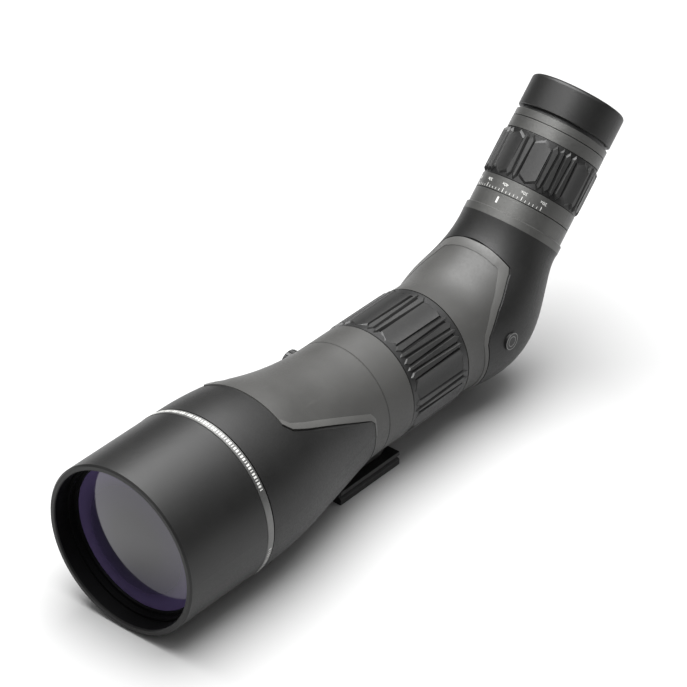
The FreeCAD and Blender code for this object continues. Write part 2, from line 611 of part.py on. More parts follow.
def tripod_collar():
    """Ring that carries the scope, with a pedestal below and a lock boss on the right."""
    body = new_body("tripod_collar")
    bore = "neck_radius + running_gap"
    half = "collar_length / 2"
    corners = [(bore, f"-{half}"), ("waist_radius - collar_edge", f"-{half}"),
               ("waist_radius", f"-{half} + collar_edge"), ("waist_radius", f"{half} - collar_edge"),
               ("waist_radius - collar_edge", half), (bore, half)]
    revolve(body, outline(body, "collar_profile", corners))
    foot_top = "foot_height - axis_height"
    flank = [("-pedestal_width / 2", foot_top), ("pedestal_width / 2", foot_top),
             ("pedestal_shoulder", "-neck_radius + 4"), ("-pedestal_shoulder", "-neck_radius + 4")]
    pad(body, outline(body, "pedestal", flank, "XZ_Plane"), "collar_length - collar_edge * 2")
    boss = body.newObject("PartDesign::Pad", "lock_boss")
    boss.Profile = circle_sketch(body, "boss_round", "YZ_Plane", "boss_radius")
    boss.Reversed = True
    drive(boss, "Length", "boss_reach")
    body.Tip = boss
    bore_sketch = circle_sketch(body, "neck_hole", "XZ_Plane", bore)
    pocket(body, bore_sketch, "collar_length * 2", both=True)
    stem_sketch = circle_sketch(body, "stem_hole", "YZ_Plane", "stem_radius + running_gap")
    pocket(body, stem_sketch, "boss_reach + 1", back=False)
    reach = "shoe_side / 2 + running_gap"
    square = [(f"-({reach})", f"-({reach})"), (reach, f"-({reach})"), (reach, reach), (f"-({reach})", reach)]
    pocket(body, outline(body, "shoe_room", square, "YZ_Plane"), "shoe_pocket", back=False)
    for side in (-1, 1):
        name = "left" if side > 0 else "right"
        screw_along = "foot_station - collar_station - collar_length / 2 + foot_screw_offset"
        hole = circle_sketch(body, f"screw_hole_{name}", "XY_Plane", "foot_screw_radius",
                             f"foot_screw_spread * {side}", screw_along,
                             Placement(Vector(0, 0, size("foot_height") - size("axis_height")), Rotation()))
        pocket(body, hole, "foot_screw_grip + 0.2", back=True)
    middle = size("collar_station") + size("collar_length") / 2 - size("foot_station")
    body.Placement = Placement(Vector(0, middle, size("axis_height")), Rotation())
    return body


def mounting_foot():
    """Dovetail foot with a groove down each side and the tripod fittings in its underside."""
    body = new_body("mounting_foot")
    half = "foot_width / 2"
    inner = "foot_width / 2 - foot_groove_depth"
    groove_top = "foot_height - foot_top_plate"
    right_side = [(half, "0"), (half, "foot_rail_height - 0.8"), (inner, "foot_rail_height"),
                  (inner, groove_top), (half, groove_top), (half, "foot_height")]
    left_side = [(f"-({across})", along) for across, along in reversed(right_side)]
    pad(body, outline(body, "dovetail", right_side + left_side, "XZ_Plane"), "foot_length")
    pocket(body, circle_sketch(body, "insert_seat", "XY_Plane", "insert_radius"), "foot_height - 1", back=True)
    twist = circle_sketch(body, "twist_hole", "XY_Plane", "anti_twist_radius", "0", "-anti_twist_offset")
    pocket(body, twist, "anti_twist_depth", back=True)
    for side in (-1, 1):
        name = "left" if side > 0 else "right"
        across = f"foot_screw_spread * {side}"
        shank = circle_sketch(body, f"shank_{name}", "XY_Plane", "foot_screw_radius", across, "foot_screw_offset")
        pocket(body, shank, "foot_height", back=True)
        head = circle_sketch(body, f"head_{name}", "XY_Plane", "foot_screw_head", across, "foot_screw_offset")
        pocket(body, head, "foot_screw_recess + foot_screw_head_height", back=True)
    return body


def thread_insert():
    """Steel bush pressed into the foot, tapped for the tripod screw."""
    upright = Placement(Vector(0, 0, 0), Rotation(Vector(1, 0, 0), 90))
    top = "foot_height - 1"
    corners = [("thread_radius", "0"), ("insert_radius", "0"), ("insert_radius", top), ("0", top),
               ("0", "thread_depth"), ("thread_radius", "thread_depth")]
    return ring("thread_insert", upright, corners)


def foot_screw(side):
    """Cap screw from the foot into the collar."""
    name = "left" if side > 0 else "right"
    place = Vector(size("foot_screw_spread") * side, size("foot_screw_offset"), size("foot_screw_recess"))
    upright = Placement(place, Rotation(Vector(1, 0, 0), 90))
    top = "foot_height - foot_screw_recess + foot_screw_grip"
    socket = "foot_screw_head / 2"
    corners = [(socket, "0"), ("foot_screw_head", "0"), ("foot_screw_head", "foot_screw_head_height"),
               ("foot_screw_radius", "foot_screw_head_height"), ("foot_screw_radius", top), ("0", top),
               ("0", "foot_screw_head_height * 0.6"), (socket, "foot_screw_head_height * 0.6")]
    return ring(f"foot_screw_{name}", upright, corners)


# --- Collar lock: knob and stem turn together, the brake shoe moves in and out ---------------------

def lock_frame():
    """Frame whose +Y points out of the right side of the collar."""
    middle = size("collar_station") + size("collar_length") / 2 - size("foot_station")
    return Placement(Vector(0, middle, size("axis_height")), Rotation(Vector(0, 0, 1), 90))


def lock_knob():
    base = "boss_reach + knob_seam"
    face = f"{base} + knob_height"
    body = new_body("lock_knob")
    corners = [("stem_radius", base), ("knob_radius - knob_edge", base), ("knob_radius", f"{base} + knob_edge"),
               ("knob_radius", f"{face} - knob_edge"), ("knob_radius - knob_edge", face), ("0", face),
               ("0", f"{face} - 3"), ("stem_radius", f"{face} - 3")]
    revolve(body, outline(body, "knob_profile", corners))
    rim = circle_sketch(body, "flute", "XZ_Plane", "0.55", "knob_radius + 0.15", "0")
    flute = pocket(body, rim, "boss_reach * 3", both=True)
    round_array(body, flute, rim, "knob_flutes", "N_Axis")
    body.Placement = lock_frame()
    return body


def lock_stem():
    flange = "shoe_pocket - running_gap"
    top = "boss_reach + knob_seam + knob_height - 3"
    corners = [("0", "neck_radius + 0.6"), ("stem_radius", "neck_radius + 0.6"),
               ("stem_radius", f"{flange} - stem_flange_height"),
               ("stem_flange_radius", f"{flange} - stem_flange_height"), ("stem_flange_radius", flange),
               ("stem_radius", flange), ("stem_radius", top), ("0", top)]
    return ring("lock_stem", lock_frame(), corners)


def brake_shoe():
    """Square shoe, hollow to the neck's radius, that the stem draws off the neck."""
    half = "shoe_side / 2"
    blank = block("shoe_blank", (f"-{half}", "neck_radius - 1.5", f"-{half}"), (half, "shoe_reach", half))
    round_face = rod("shoe_face", "neck_radius + running_gap", "shoe_side * 2", across="-shoe_side",
                     axis=Vector(1, 0, 0))
    shaped = cut("shoe_shaped", blank, round_face)
    hole = rod("shoe_hole", "stem_radius + running_gap", "shoe_reach", "neck_radius - 5")
    shoe = cut("brake_shoe", shaped, hole)
    shoe.Placement = lock_frame()
    return shoe


# --- Sunshade: slides forward over the objective barrel --------------------------------------------

def sunshade_sleeve():
    lip_front = "barrel_station + barrel_land + shade_travel + stop_gap"
    corners = [("shade_bore", "shade_rim"), ("shade_radius", "shade_rim"), ("shade_radius", "shade_length"),
               ("lip_bore", "shade_length"), ("lip_bore", lip_front), ("shade_bore", lip_front)]
    return ring("sunshade_sleeve", on_tube(), corners)


def sunshade_rubber():
    rear = "shade_length - band_width - ring_seam"
    corners = [("shade_bore", "0.4"), ("shade_bore + 0.4", "0"), ("rim_radius - 0.9", "0"),
               ("rim_radius", "0.9"), ("rim_radius", rear), ("shade_radius", rear),
               ("shade_radius", "shade_rim"), ("shade_bore", "shade_rim")]
    return ring("sunshade_rubber", on_tube(), corners)


def sunshade_band():
    front = "shade_length - band_width"
    outer = "rim_radius + band_proud"
    corners = [("shade_radius", front), (f"{outer} - 0.3", front), (outer, f"{front} + 0.3"),
               (outer, "shade_length - 0.3"), (f"{outer} - 0.3", "shade_length"), ("shade_radius", "shade_length")]
    return ring("sunshade_band", on_tube(), corners)


# --- Objective: barrel, cell, two lenses -----------------------------------------------------------

def objective_barrel():
    land = "shade_bore - running_gap"
    land_end = "barrel_station + barrel_land"
    rear = "body_station + barrel_seat"
    corners = [("barrel_bore", "barrel_station"), (f"{land} - 0.3", "barrel_station"),
               (land, "barrel_station + 0.3"), (land, land_end), ("barrel_radius", land_end),
               ("barrel_radius", rear), ("barrel_bore", rear)]
    return ring("objective_barrel", on_tube(), corners)


def objective_cell():
    rear = "shelf_station + cell_shelf"
    corners = [("cell_bore", "cell_station"), ("barrel_bore", "cell_station"), ("barrel_bore", rear),
               ("cell_bore - cell_shelf_lip", rear), ("cell_bore - cell_shelf_lip", "shelf_station"),
               ("cell_bore", "shelf_station")]
    return ring("objective_cell", on_tube(), corners)


def objective_ring():
    inner = "cell_bore - lens_ring_lip"
    corners = [(inner, "glass_station - 0.2"), (f"{inner} + 0.4", "cell_station"), ("cell_bore", "cell_station"),
               ("cell_bore", "glass_station")]
    return ring("objective_ring", on_tube(), corners)


def objective_glass():
    lens("front_lens", on_tube(), "cell_bore", "glass_station", "front_lens_edge", front="front_lens_curve")
    tube("lens_spacer", on_tube(), "cell_bore - lens_spacer_wall", "cell_bore", "spacer_station",
         "rear_glass_station")
    lens("rear_lens", on_tube(), "cell_bore", "rear_glass_station", "rear_lens_edge", hollow="rear_lens_curve")


# --- Body casting, armour and neck -----------------------------------------------------------------

def body_castings():
    """Cast cone with the bearing neck, and the rubber armour that wraps all but its top panel."""
    blank = flowing_blank("casting_blank", "body_station", "body_station + casting_straight",
                          "body_station + casting_turn", "casting_rear", "casting_radius", "waist_radius", True)
    neck = rod("neck_blank", "neck_radius", "neck_end - casting_rear + 5",
               "casting_rear - 5")
    solid = doc.addObject("Part::Fuse", "casting_solid")
    solid.Base = blank
    solid.Tool = neck
    seat_end = "body_station + barrel_seat"
    wide = "barrel_radius - casting_wall / 2"
    core = [("0", "body_station - 1"), ("barrel_radius", "body_station - 1"), ("barrel_radius", seat_end),
            (wide, seat_end), (wide, f"{seat_end} + bore_front"),
            ("waist_radius", "body_station + casting_turn + 16"), ("neck_bore", "casting_rear - 8"),
            ("neck_bore", "focus_rear"), ("0", "focus_rear")]
    hollow = ring("casting_core", Placement(), core)
    cut("main_body", solid, hollow, on_tube())

    cover = flowing_blank("armor_blank", "body_station", "body_station + armor_straight",
                          "body_station + armor_turn", "armor_rear", "rim_radius",
                          "waist_radius + armor_tail_proud", False)
    shell = cut("armor_shell", cover, blank)
    window = new_body("panel_window")
    front = "body_station + panel_front"
    sky = "rim_radius + 5"
    corners = [(front, sky), (front, "panel_crown"),
               (f"{front} + panel_corner", "panel_crown - panel_corner_drop"), ("armor_rear - 2.5", "panel_tail"),
               ("armor_rear", "panel_tail - 2.5"), ("armor_rear + 5", "panel_tail - 2.5"), ("armor_rear + 5", sky)]
    pad(window, outline(window, "panel_outline", corners, "YZ_Plane"), "rim_radius * 3")
    cut("front_armor", shell, window, on_tube())


def stray_light_ring():
    rear = "baffle_station + baffle_thickness"
    corners = [("baffle_hole", "baffle_station"), ("waist_radius - 1.5", "baffle_station"),
               ("waist_radius - 1.5", rear), ("baffle_hole", rear)]
    return ring("stray_light_ring", on_tube(), corners)


def collar_retainer():
    return tube("collar_retainer", on_tube(), "neck_radius", "retainer_radius", "neck_end - retainer_length",
                "neck_end")


# --- Focus drive -----------------------------------------------------------------------------------

def pin_slot(body, name, angle, station, width, length, depth):
    """Straight slot through a tube's wall, on the side that the angle about +Y turns +X to."""
    turned = Placement(Vector(0, 0, 0), Rotation(Vector(1, 0, 0), angle))
    low, high = f"{station} - ({length}) / 2", f"{station} + ({length}) / 2"
    half = f"({width}) / 2"
    corners = [(low, f"-{half}"), (high, f"-{half}"), (high, half), (low, half)]
    return pocket(body, outline(body, name, corners, "YZ_Plane", turned), depth, back=True)


def focus_guide_tube():
    """Fixed tube under the focus ring: the drive pin runs in its straight slot."""
    body = new_body("focus_guide_tube")
    step = "neck_end"
    rear = "housing_station + guide_seat"
    corners = [("focus_guide_bore", f"{step} - 10"), ("neck_bore", f"{step} - 10"), ("neck_bore", step),
               ("focus_guide_radius", step), ("focus_guide_radius", rear), ("focus_guide_bore", rear)]
    revolve(body, outline(body, "guide_profile", corners))
    travel = "focus_pitch * focus_turns + focus_pin_radius * 2 + stop_gap * 2"
    pin_slot(body, "pin_slot", 0, "drive_station", "focus_pin_radius * 2 + running_gap * 2", travel,
             "focus_guide_radius * 2")
    body.Placement = on_tube()
    return body


def focus_ring_core():
    """Turning ring; a helical groove inside it carries the drive pin along."""
    body = new_body("focus_ring_core")
    bore = "focus_guide_radius + running_gap"
    mouth_end = "neck_end + ring_seam"
    lip = "focus_core_radius + focus_lip"
    front_lip = "focus_station + focus_lip_width"
    rear_lip = "focus_rear - focus_lip_width"
    corners = [("focus_mouth_radius", "focus_station"), (f"{lip} - 0.3", "focus_station"),
               (lip, "focus_station + 0.3"), (lip, front_lip), ("focus_core_radius", front_lip),
               ("focus_core_radius", rear_lip), (f"{lip} + 0.1", rear_lip),
               (f"{lip} + 0.1", "focus_rear - 0.3"), (f"{lip} - 0.2", "focus_rear"), (bore, "focus_rear"),
               (bore, mouth_end), ("focus_mouth_radius", mouth_end)]
    revolve(body, outline(body, "focus_profile", corners))
    overrun = 6
    rise = f"focus_pitch * (focus_turns + {overrun} / 180)"
    half = "(focus_pin_radius + focus_groove_gap)"
    low = f"drive_station - {rise} / 2"
    section = [("focus_guide_radius - 0.6", f"{low} - {half}"), ("focus_groove_bottom", f"{low} - {half}"),
               ("focus_groove_bottom", f"{low} + {half}"), ("focus_guide_radius - 0.6", f"{low} + {half}")]
    helix_groove(body, "drive_groove", section, "focus_pitch", rise)
    body.Placement = spun(on_tube(), -180 * size("focus_turns") - overrun)
    return body


def grip(label, placement, inner, outer, start, stop, grooves):
    """Rubber sleeve with lengthwise grooves between its lands."""
    body = new_body(label)
    edge = "0.5"
    corners = [(inner, start), (f"{outer} - {edge}", start), (outer, f"{start} + {edge}"),
               (outer, f"{stop} - {edge}"), (f"{outer} - {edge}", stop), (inner, stop)]
    revolve(body, outline(body, label + "_profile", corners))
    floor = f"{outer} - grip_groove_depth"
    middle = Placement(Vector(0, 0, -amount(start)), Rotation())
    half = "grip_groove_width / 2"
    vee = [(f"{outer} + 0.4", f"-{half}"), (f"{outer} + 0.4", half), (floor, "0")]
    sketch = outline(body, label + "_groove", vee, "XZ_Plane", middle)
    groove = pocket(body, sketch, f"({stop}) - ({start})", back=False)
    round_array(body, groove, sketch, grooves, "N_Axis")
    body.Placement = placement
    return body


def focus_carriage():
    """Sliding cell for the focus lens, with a seat for the drive pin."""
    body = new_body("focus_carriage")
    front, rear = "drive_station - carriage_length / 2", "drive_station + carriage_length / 2"
    bore = "carriage_radius - carriage_wall"
    shelf_start = f"{front} + focus_lens_edge + 1"
    shelf_end = f"{shelf_start} + 1.5"
    corners = [(bore, front), ("carriage_radius", front), ("carriage_radius", rear), (bore, rear),
               (bore, shelf_end), (f"{bore} - carriage_shelf", shelf_end),
               (f"{bore} - carriage_shelf", shelf_start), (bore, shelf_start)]
    revolve(body, outline(body, "carriage_profile", corners))
    seat = circle_sketch(body, "pin_seat", "YZ_Plane", "focus_pin_radius", "drive_station", "0")
    pocket(body, seat, "carriage_radius * 2", back=True)
    body.Placement = on_tube()
    return body


def focus_optics():
    lens("focus_lens", on_tube(), "carriage_radius - carriage_wall",
         "drive_station - carriage_length / 2 + 1", "focus_lens_edge", hollow="focus_lens_curve")
    start = size("carriage_radius") - size("carriage_wall")
    pin = rod("focus_pin", "focus_pin_radius", "focus_pin_reach - carriage_radius + carriage_wall",
              axis=Vector(1, 0, 0))
    pin.setExpression("Placement.Base.x", None)
    pin.setExpression("Placement.Base.y", None)
    pin.setExpression("Placement.Base.z", None)
    pin.Placement = on_tube() * Placement(Vector(start, size("drive_station"), 0), pin.Placement.Rotation)
    pin.Label = "focus_pin"


# --- Elbow housing, its armour and the prism -------------------------------------------------------

def prism_housing():
    """Cast elbow: a swept shell with seats for the guide tube and the eyepiece."""
    radii = elbow_radii("elbow_armor")
    radii[0] = "elbow_front_radius"
    outside = elbow("housing_outside", radii, size("housing_station"), size("housing_top"))
    seat_end = size("housing_station") + size("guide_seat")
    flange_base = size("housing_top") - size("ocular_flange_height")
    inside_radii = elbow_radii("elbow_armor + elbow_wall")
    inside_radii[0] = "elbow_front_radius - elbow_wall"
    inside_radii[4] = "ocular_flange - 1"
    inside = elbow("housing_inside", inside_radii, seat_end, flange_base)
    shell = cut("housing_shell", outside, inside)
    front_seat = rod("guide_seat_hole", "focus_guide_radius", "guide_seat + 2", "housing_station - 1")
    bored = cut("housing_bored", shell, front_seat)
    top_seat = rod("ocular_seat_hole", "ocular_flange", "ocular_flange_height + 1")
    top_seat.setExpression("Placement.Base.x", None)
    top_seat.setExpression("Placement.Base.y", None)
    top_seat.setExpression("Placement.Base.z", None)
    tilt = Placement(Vector(0, size("bend_station"), 0), Rotation(Vector(1, 0, 0), size("bend_angle")))
    top_seat.Placement = shifted(tilt, flange_base) * Placement(Vector(0, 0, 0), Rotation(Vector(0, 0, 1),
                                                                                      Vector(0, 1, 0)))
    seated = cut("housing_seated", bored, top_seat)
    badge_seat = badge_disc("badge_seat")
    cut("prism_housing", seated, badge_seat, on_tube())
    return outside


def badge_disc(name):
    """Disc set into the housing's left side, in the tube's frame."""
    return rod(name, "badge_radius", "badge_thickness", "badge_station", "badge_reach - badge_thickness",
               "badge_lift", axis=Vector(1, 0, 0))


def rear_armor(outside):
    """Rubber over the back and sides of the elbow, open over the inside of the bend."""
    cover = elbow("armor_outside", elbow_radii("0"), size("housing_station"), size("housing_top"))
    shell = cut("elbow_shell", cover, outside)
    window = new_body("elbow_window")
    edge = "housing_station + elbow_panel_start"
    sky, ground = "axis_height * 3", "-axis_height * 2"
    lift, crest = "elbow_panel_low + elbow_panel_rise", f"{edge} + elbow_panel_run"
    corners = [("housing_station - 5", ground), (edge, ground), (edge, "elbow_panel_low - 2.5"),
               (f"{edge} + 2", "elbow_panel_low + 1"),
               (f"{edge} + elbow_panel_knee", "elbow_panel_low + elbow_panel_knee_rise"), (crest, lift),
               (f"{crest} + 2.2", f"{lift} + 2.4"), (f"{crest} + 0.1", f"{lift} + 11"), (f"{crest} - 2", sky),
               ("housing_station - 5", sky)]
    pad(window, outline(window, "elbow_outline", corners, "YZ_Plane"), "elbow_middle_radius * 4")
    trimmed = cut("elbow_trimmed", shell, window)
    cut("rear_armor", trimmed, badge_disc("badge_window"), on_tube())


def badge():
    disc = badge_disc("badge_blank")
    shape = common("badge", [disc, block("badge_half", ("0", "0", "-100"), ("100", "bend_station * 2", "100"))])
    shape.Placement = on_tube()
    return shape


def roof_prism():
    """Roof prism that turns the light through 45 degrees: a wedge with a 90 degree roof below."""
    body = new_body("prism_wedge")
    leg = "prism_rise * sqrt(8)"
    face = "bend_station - prism_rise * (sqrt(2) - 1)"
    corners = [(face, "prism_rise"), (f"{face} + prism_rise * 2", "-prism_rise"), (face, f"prism_rise - {leg}")]
    pad(body, outline(body, "wedge", corners, "YZ_Plane"), "prism_half_width * 2")
    roof = doc.addObject("Part::Box", "roof_envelope")
    for setting in ("Length", "Width", "Height"):
        drive(roof, setting, "prism_rise * 6")
    tilt = math.radians(size("bend_angle") / 2)
    base = size("bend_station") - size("prism_rise") * (math.sqrt(2) - 1)
    ridge = Vector(0, base, size("prism_rise") * (1 - math.sqrt(8)))
    along = Vector(0, math.cos(tilt), math.sin(tilt))
    inward = Vector(0, -math.sin(tilt), math.cos(tilt))
    side = Vector(1, 0, 0)
    turn = Rotation((inward + side) * (1 / math.sqrt(2)), along, (inward - side) * (1 / math.sqrt(2)), "XZY")
    roof.Placement = Placement(ridge - along * (size("prism_rise") * 2), turn)
    return common("roof_prism", [body, roof], on_tube())


def prism_frame():
    """Round plate against the guide tube, with two cheeks that hold the prism."""
    body = new_body("prism_frame")
    front = "housing_station + guide_seat + 0.2"
    plate_end = f"{front} + frame_plate"
    plate = [("frame_aperture", front), ("focus_guide_radius - 0.1", front),
             ("focus_guide_radius - 0.1", plate_end), ("frame_aperture", plate_end)]
    revolve(body, outline(body, "frame_profile", plate))
    inner = "prism_half_width + cheek_gap"
    outer = f"{inner} + cheek_thickness"
    for side in (-1, 1):
        name = "left" if side > 0 else "right"
        cheek = [(f"({inner}) * {side}", plate_end), (f"({outer}) * {side}", plate_end),
                 (f"({outer}) * {side}", "cheek_rear"), (f"({inner}) * {side}", "cheek_rear")]
        upper = Placement(Vector(0, 0, -size("cheek_bottom")), Rotation())
        sketch = outline(body, f"cheek_{name}", cheek, "XY_Plane", upper)
        wall = body.newObject("PartDesign::Pad", f"cheek_{name}_pad")
        wall.Profile = sketch
        drive(wall, "Length", "cheek_bottom + prism_rise + 0.1")
        body.Tip = wall
    slope = [("bend_station + 2", "prism_rise + 2"), ("cheek_rear + 2", "-prism_rise"),
             ("cheek_rear + 2", "prism_rise + 2")]
    pocket(body, outline(body, "cheek_slope", slope, "YZ_Plane"), "prism_rise * 6", both=True)
    across = f"{inner} + cheek_thickness / 2"
    for side in (-1, 1):
        name = "left" if side > 0 else "right"
        top = Placement(Vector(0, 0, size("prism_rise") + 0.1), Rotation())
        hole = circle_sketch(body, f"strap_hole_{name}", "XY_Plane", "clamp_screw_radius",
                             f"({across}) * {side}", "strap_middle", top)
        pocket(body, hole, "clamp_screw_depth")
    body.Placement = on_tube()
    return body


def prism_strap():
    """Strap over the prism's apex, screwed to the tops of both cheeks."""
    reach = "prism_half_width + cheek_gap + cheek_thickness"
    low = "prism_rise + 0.1"
    bar = block("strap_bar", (f"-({reach})", "strap_middle - clamp_length / 2", low),
                (reach, "strap_middle + clamp_length / 2", f"{low} + clamp_thickness"))
    across = "(prism_half_width + cheek_gap + cheek_thickness / 2)"
    for side in (-1, 1):
        name = "left" if side > 0 else "right"
        hole = rod(f"strap_bore_{name}", "clamp_screw_radius", "clamp_thickness + 1", "strap_middle",
                   f"{across} * {side}", f"{low} - 0.5", axis=Vector(0, 0, 1))
        bar = cut(f"strap_drilled_{name}", bar, hole)
    bar.Label = "prism_strap"
    bar.Placement = on_tube()
    return bar


def strap_screw(side):
    name = "left" if side > 0 else "right"
    across = size("prism_half_width") + size("cheek_gap") + size("cheek_thickness") / 2
    strap_top = size("prism_rise") + 0.1 + size("clamp_thickness")
    place = on_tube() * Placement(Vector(across * side, size("strap_middle"), strap_top),
                                  Rotation(Vector(1, 0, 0), -90))
    tip = "clamp_thickness + clamp_screw_depth - 0.2"
    corners = [("0", "-1"), ("clamp_screw_head", "-1"), ("clamp_screw_head", "0"), ("clamp_screw_radius", "0"),
               ("clamp_screw_radius", tip), ("0", tip)]
    return ring(f"strap_screw_{name}", place, corners)


# --- Eyepiece: fixed parts -------------------------------------------------------------------------

def eyepiece_collar():
    inner = "ocular_radius"
    outer = "ocular_collar_radius"
    top = "index_station"
    corners = [(inner, "housing_top"), (outer, "housing_top"), (outer, f"{top} - 0.5"),
               (f"{outer} - 0.5", top), (inner, top)]
    return ring("eyepiece_collar", on_eyepiece(), corners)


def index_ring():
    return tube("index_ring", on_eyepiece(), "ocular_radius", "index_radius", "index_station",
                "index_station + index_length")


def upper_pin_angle():
    """The upper pin sits where its left-handed slot, started opposite the lower one, has its middle."""
    return 180 - 2 * (size("zoom_half_turn") + size("cam_overrun"))


def eyepiece_tube():
    """Fixed tube through the eyepiece, with a straight slot for each zoom pin."""
    body = new_body("eyepiece_tube")
    base = "housing_top - ocular_flange_height"
    lens_shelf = "ocular_top - eye_ring_height - eye_lens_edge"
    corners = [("ocular_bore", base), ("ocular_flange", base), ("ocular_flange", "housing_top"),
               ("ocular_radius", "housing_top"), ("ocular_radius", "top_floor"),
               ("ocular_neck_radius", "top_floor"), ("ocular_neck_radius", "ocular_top"),
               ("eye_lens_radius", "ocular_top"), ("eye_lens_radius", lens_shelf),
               ("eye_lens_radius - 1.6", lens_shelf), ("eye_lens_radius - 1.6", f"{lens_shelf} - 2"),
               ("ocular_bore", f"{lens_shelf} - 4")]
    revolve(body, outline(body, "ocular_profile", corners))
    length = "zoom_pitch * zoom_half_turn / 180 + zoom_pin_radius * 2 + stop_gap * 2"
    width = "zoom_pin_radius * 2 + running_gap * 2"
    pin_slot(body, "lower_slot", 0, "lower_cell", width, length, "ocular_radius * 2")
    pin_slot(body, "upper_slot", upper_pin_angle(), "upper_cell", width, length, "ocular_radius * 2")
    body.Placement = on_eyepiece()
    return body


def eyepiece_optics():
    """Lenses and stops that stay still in the eyepiece tube."""
    base = "housing_top - ocular_flange_height"
    lens("field_lens", on_eyepiece(), "ocular_bore", f"{base} + 2.5", "field_lens_edge",
         front="field_lens_curve", rear="field_lens_curve")
    stop = f"{base} + 2.5 + field_lens_edge + 3"
    tube("field_stop", on_eyepiece(), "field_stop_hole", "ocular_bore", stop, f"{stop} + field_stop_thickness")
    top = "ocular_top - eye_ring_height"
    lens("eye_lens", on_eyepiece(), "eye_lens_radius", f"{top} - eye_lens_edge", "eye_lens_edge - 1.2",
         rear="eye_lens_curve")
    inner = "eye_lens_radius - eye_ring_lip"
    corners = [(inner, f"{top} + 0.6"), ("eye_lens_radius", f"{top} - 1.2"), ("eye_lens_radius", "ocular_top"),
               (f"{inner} + 0.5", "ocular_top")]
    ring("eye_lens_ring", on_eyepiece(), corners)


def top_ring():
    wall = "sleeve_radius + skirt_gap"
    top = "top_ring_station + top_ring_length"
    corners = [("ocular_radius", "top_ring_station"), ("top_ring_radius", "top_ring_station"),
               ("top_ring_radius", f"{top} - 0.3"), ("top_ring_radius - 0.3", top), (wall, top),
               (wall, "top_floor"), ("ocular_radius", "top_floor")]
    return ring("top_ring", on_eyepiece(), corners)


# --- Zoom drive ------------------------------------------------------------------------------------

def zoom_ring_core():
    """Turning ring: numbered stretch, grip seat and bare top."""
    corners = [("cam_radius", "zoom_station"), ("index_radius", "zoom_station"),
               ("index_radius", "zoom_grip_start"), ("zoom_core_radius", "zoom_grip_start"),
               ("zoom_core_radius", "zoom_grip_end"), ("zoom_top_radius", "zoom_grip_end"),
               ("zoom_top_radius", "zoom_end"), ("cam_radius", "zoom_end")]
    return ring("zoom_ring_core", on_eyepiece(), corners)


def zoom_cam_sleeve():
    """Sleeve fixed in the zoom ring; its two opposite slots drive the cells apart and together."""
    body = new_body("zoom_cam_sleeve")
    bore = "ocular_radius + running_gap"
    corners = [(bore, "zoom_station"), ("cam_radius", "zoom_station"), ("cam_radius", "zoom_end"), (bore, "zoom_end")]
    revolve(body, outline(body, "cam_profile", corners))
    rise = "zoom_pitch * (zoom_half_turn + cam_overrun) / 180"
    half = "(zoom_pin_radius + cam_slot_gap)"
    inner, outer = "ocular_radius - 1", "cam_radius + 1"
    for name, station, side in (("lower", "lower_cell", 1), ("upper", "upper_cell", -1)):
        low = f"{station} - {rise} / 2"
        section = [(f"({inner}) * {side}", f"{low} - {half}"), (f"({outer}) * {side}", f"{low} - {half}"),
                   (f"({outer}) * {side}", f"{low} + {half}"), (f"({inner}) * {side}", f"{low} + {half}")]
        helix_groove(body, f"{name}_cam", section, "zoom_pitch", rise, left_handed=side < 0)
    body.Placement = spun(on_eyepiece(), -size("zoom_half_turn") - size("cam_overrun"))
    return body


def zoom_cell(name, station, angle):
    """Sliding lens cell with its drive pin."""
    label = f"zoom_cell_{name}"
    body = new_body(label)
    outer = "ocular_bore - running_gap"
    inner = f"{outer} - cell_barrel_wall"
    low, high = f"{station} - cell_length / 2", f"{station} + cell_length / 2"
    shelf = f"{low} + 1 + zoom_lens_edge"
    corners = [(inner, low), (outer, low), (outer, high), (inner, high), (inner, f"{shelf} + 1.2"),
               (f"{inner} - 1.2", f"{shelf} + 1.2"), (f"{inner} - 1.2", shelf), (inner, shelf)]
    revolve(body, outline(body, label + "_profile", corners))
    seat = circle_sketch(body, label + "_seat", "YZ_Plane", "zoom_pin_radius", station, "0")
    pocket(body, seat, "ocular_bore * 2", back=True)
    body.Placement = spun(on_eyepiece(), angle)
    lens(f"zoom_lens_{name}", on_eyepiece(), inner, f"{low} + 1", "zoom_lens_edge", hollow="zoom_lens_curve")
    start = size("ocular_bore") - size("running_gap") - size("cell_barrel_wall") + 0.3
    tip = size("cam_radius") - size("zoom_pin_tip")
    pin = doc.addObject("Part::Cylinder", f"zoom_pin_{name}")
    pin.Label = f"zoom_pin_{name}"
    drive(pin, "Radius", "zoom_pin_radius")
    pin.Height = tip - start
    place = Placement(Vector(start, size(station), 0), Rotation(Vector(0, 1, 0), 90))
    pin.Placement = spun(on_eyepiece(), angle) * place


# --- Eyecup: turning it lifts it -------------------------------------------------------------------

def eyecup_guide_ring():
    """Ring that turns on the eyepiece neck; its two keys turn the eyecup with it."""
    body = new_body("eyecup_guide_ring")
    corners = [("guide_bore", "guide_station"), ("guide_radius", "guide_station"),
               ("guide_radius", "guide_top"), ("guide_bore", "guide_top")]
    revolve(body, outline(body, "guide_ring_profile", corners))
    for side in (-1, 1):
        name = "left" if side > 0 else "right"
        inner = f"(guide_radius - 0.5) * {side}"
        outer = f"(guide_radius + key_height) * {side}"
        low, high = "guide_station", "guide_top"
        key = [(inner, low), (outer, low), (outer, high), (inner, high)]
        pad(body, outline(body, f"key_{name}", key), "key_width")
    body.Placement = on_eyepiece()
    return body


def neck_cap():
    top = "ocular_top"
    low = f"{top} - neck_cap_height"
    return tube("neck_cap", on_eyepiece(), "ocular_neck_radius", "sleeve_bore - neck_cap_inset", low, top)


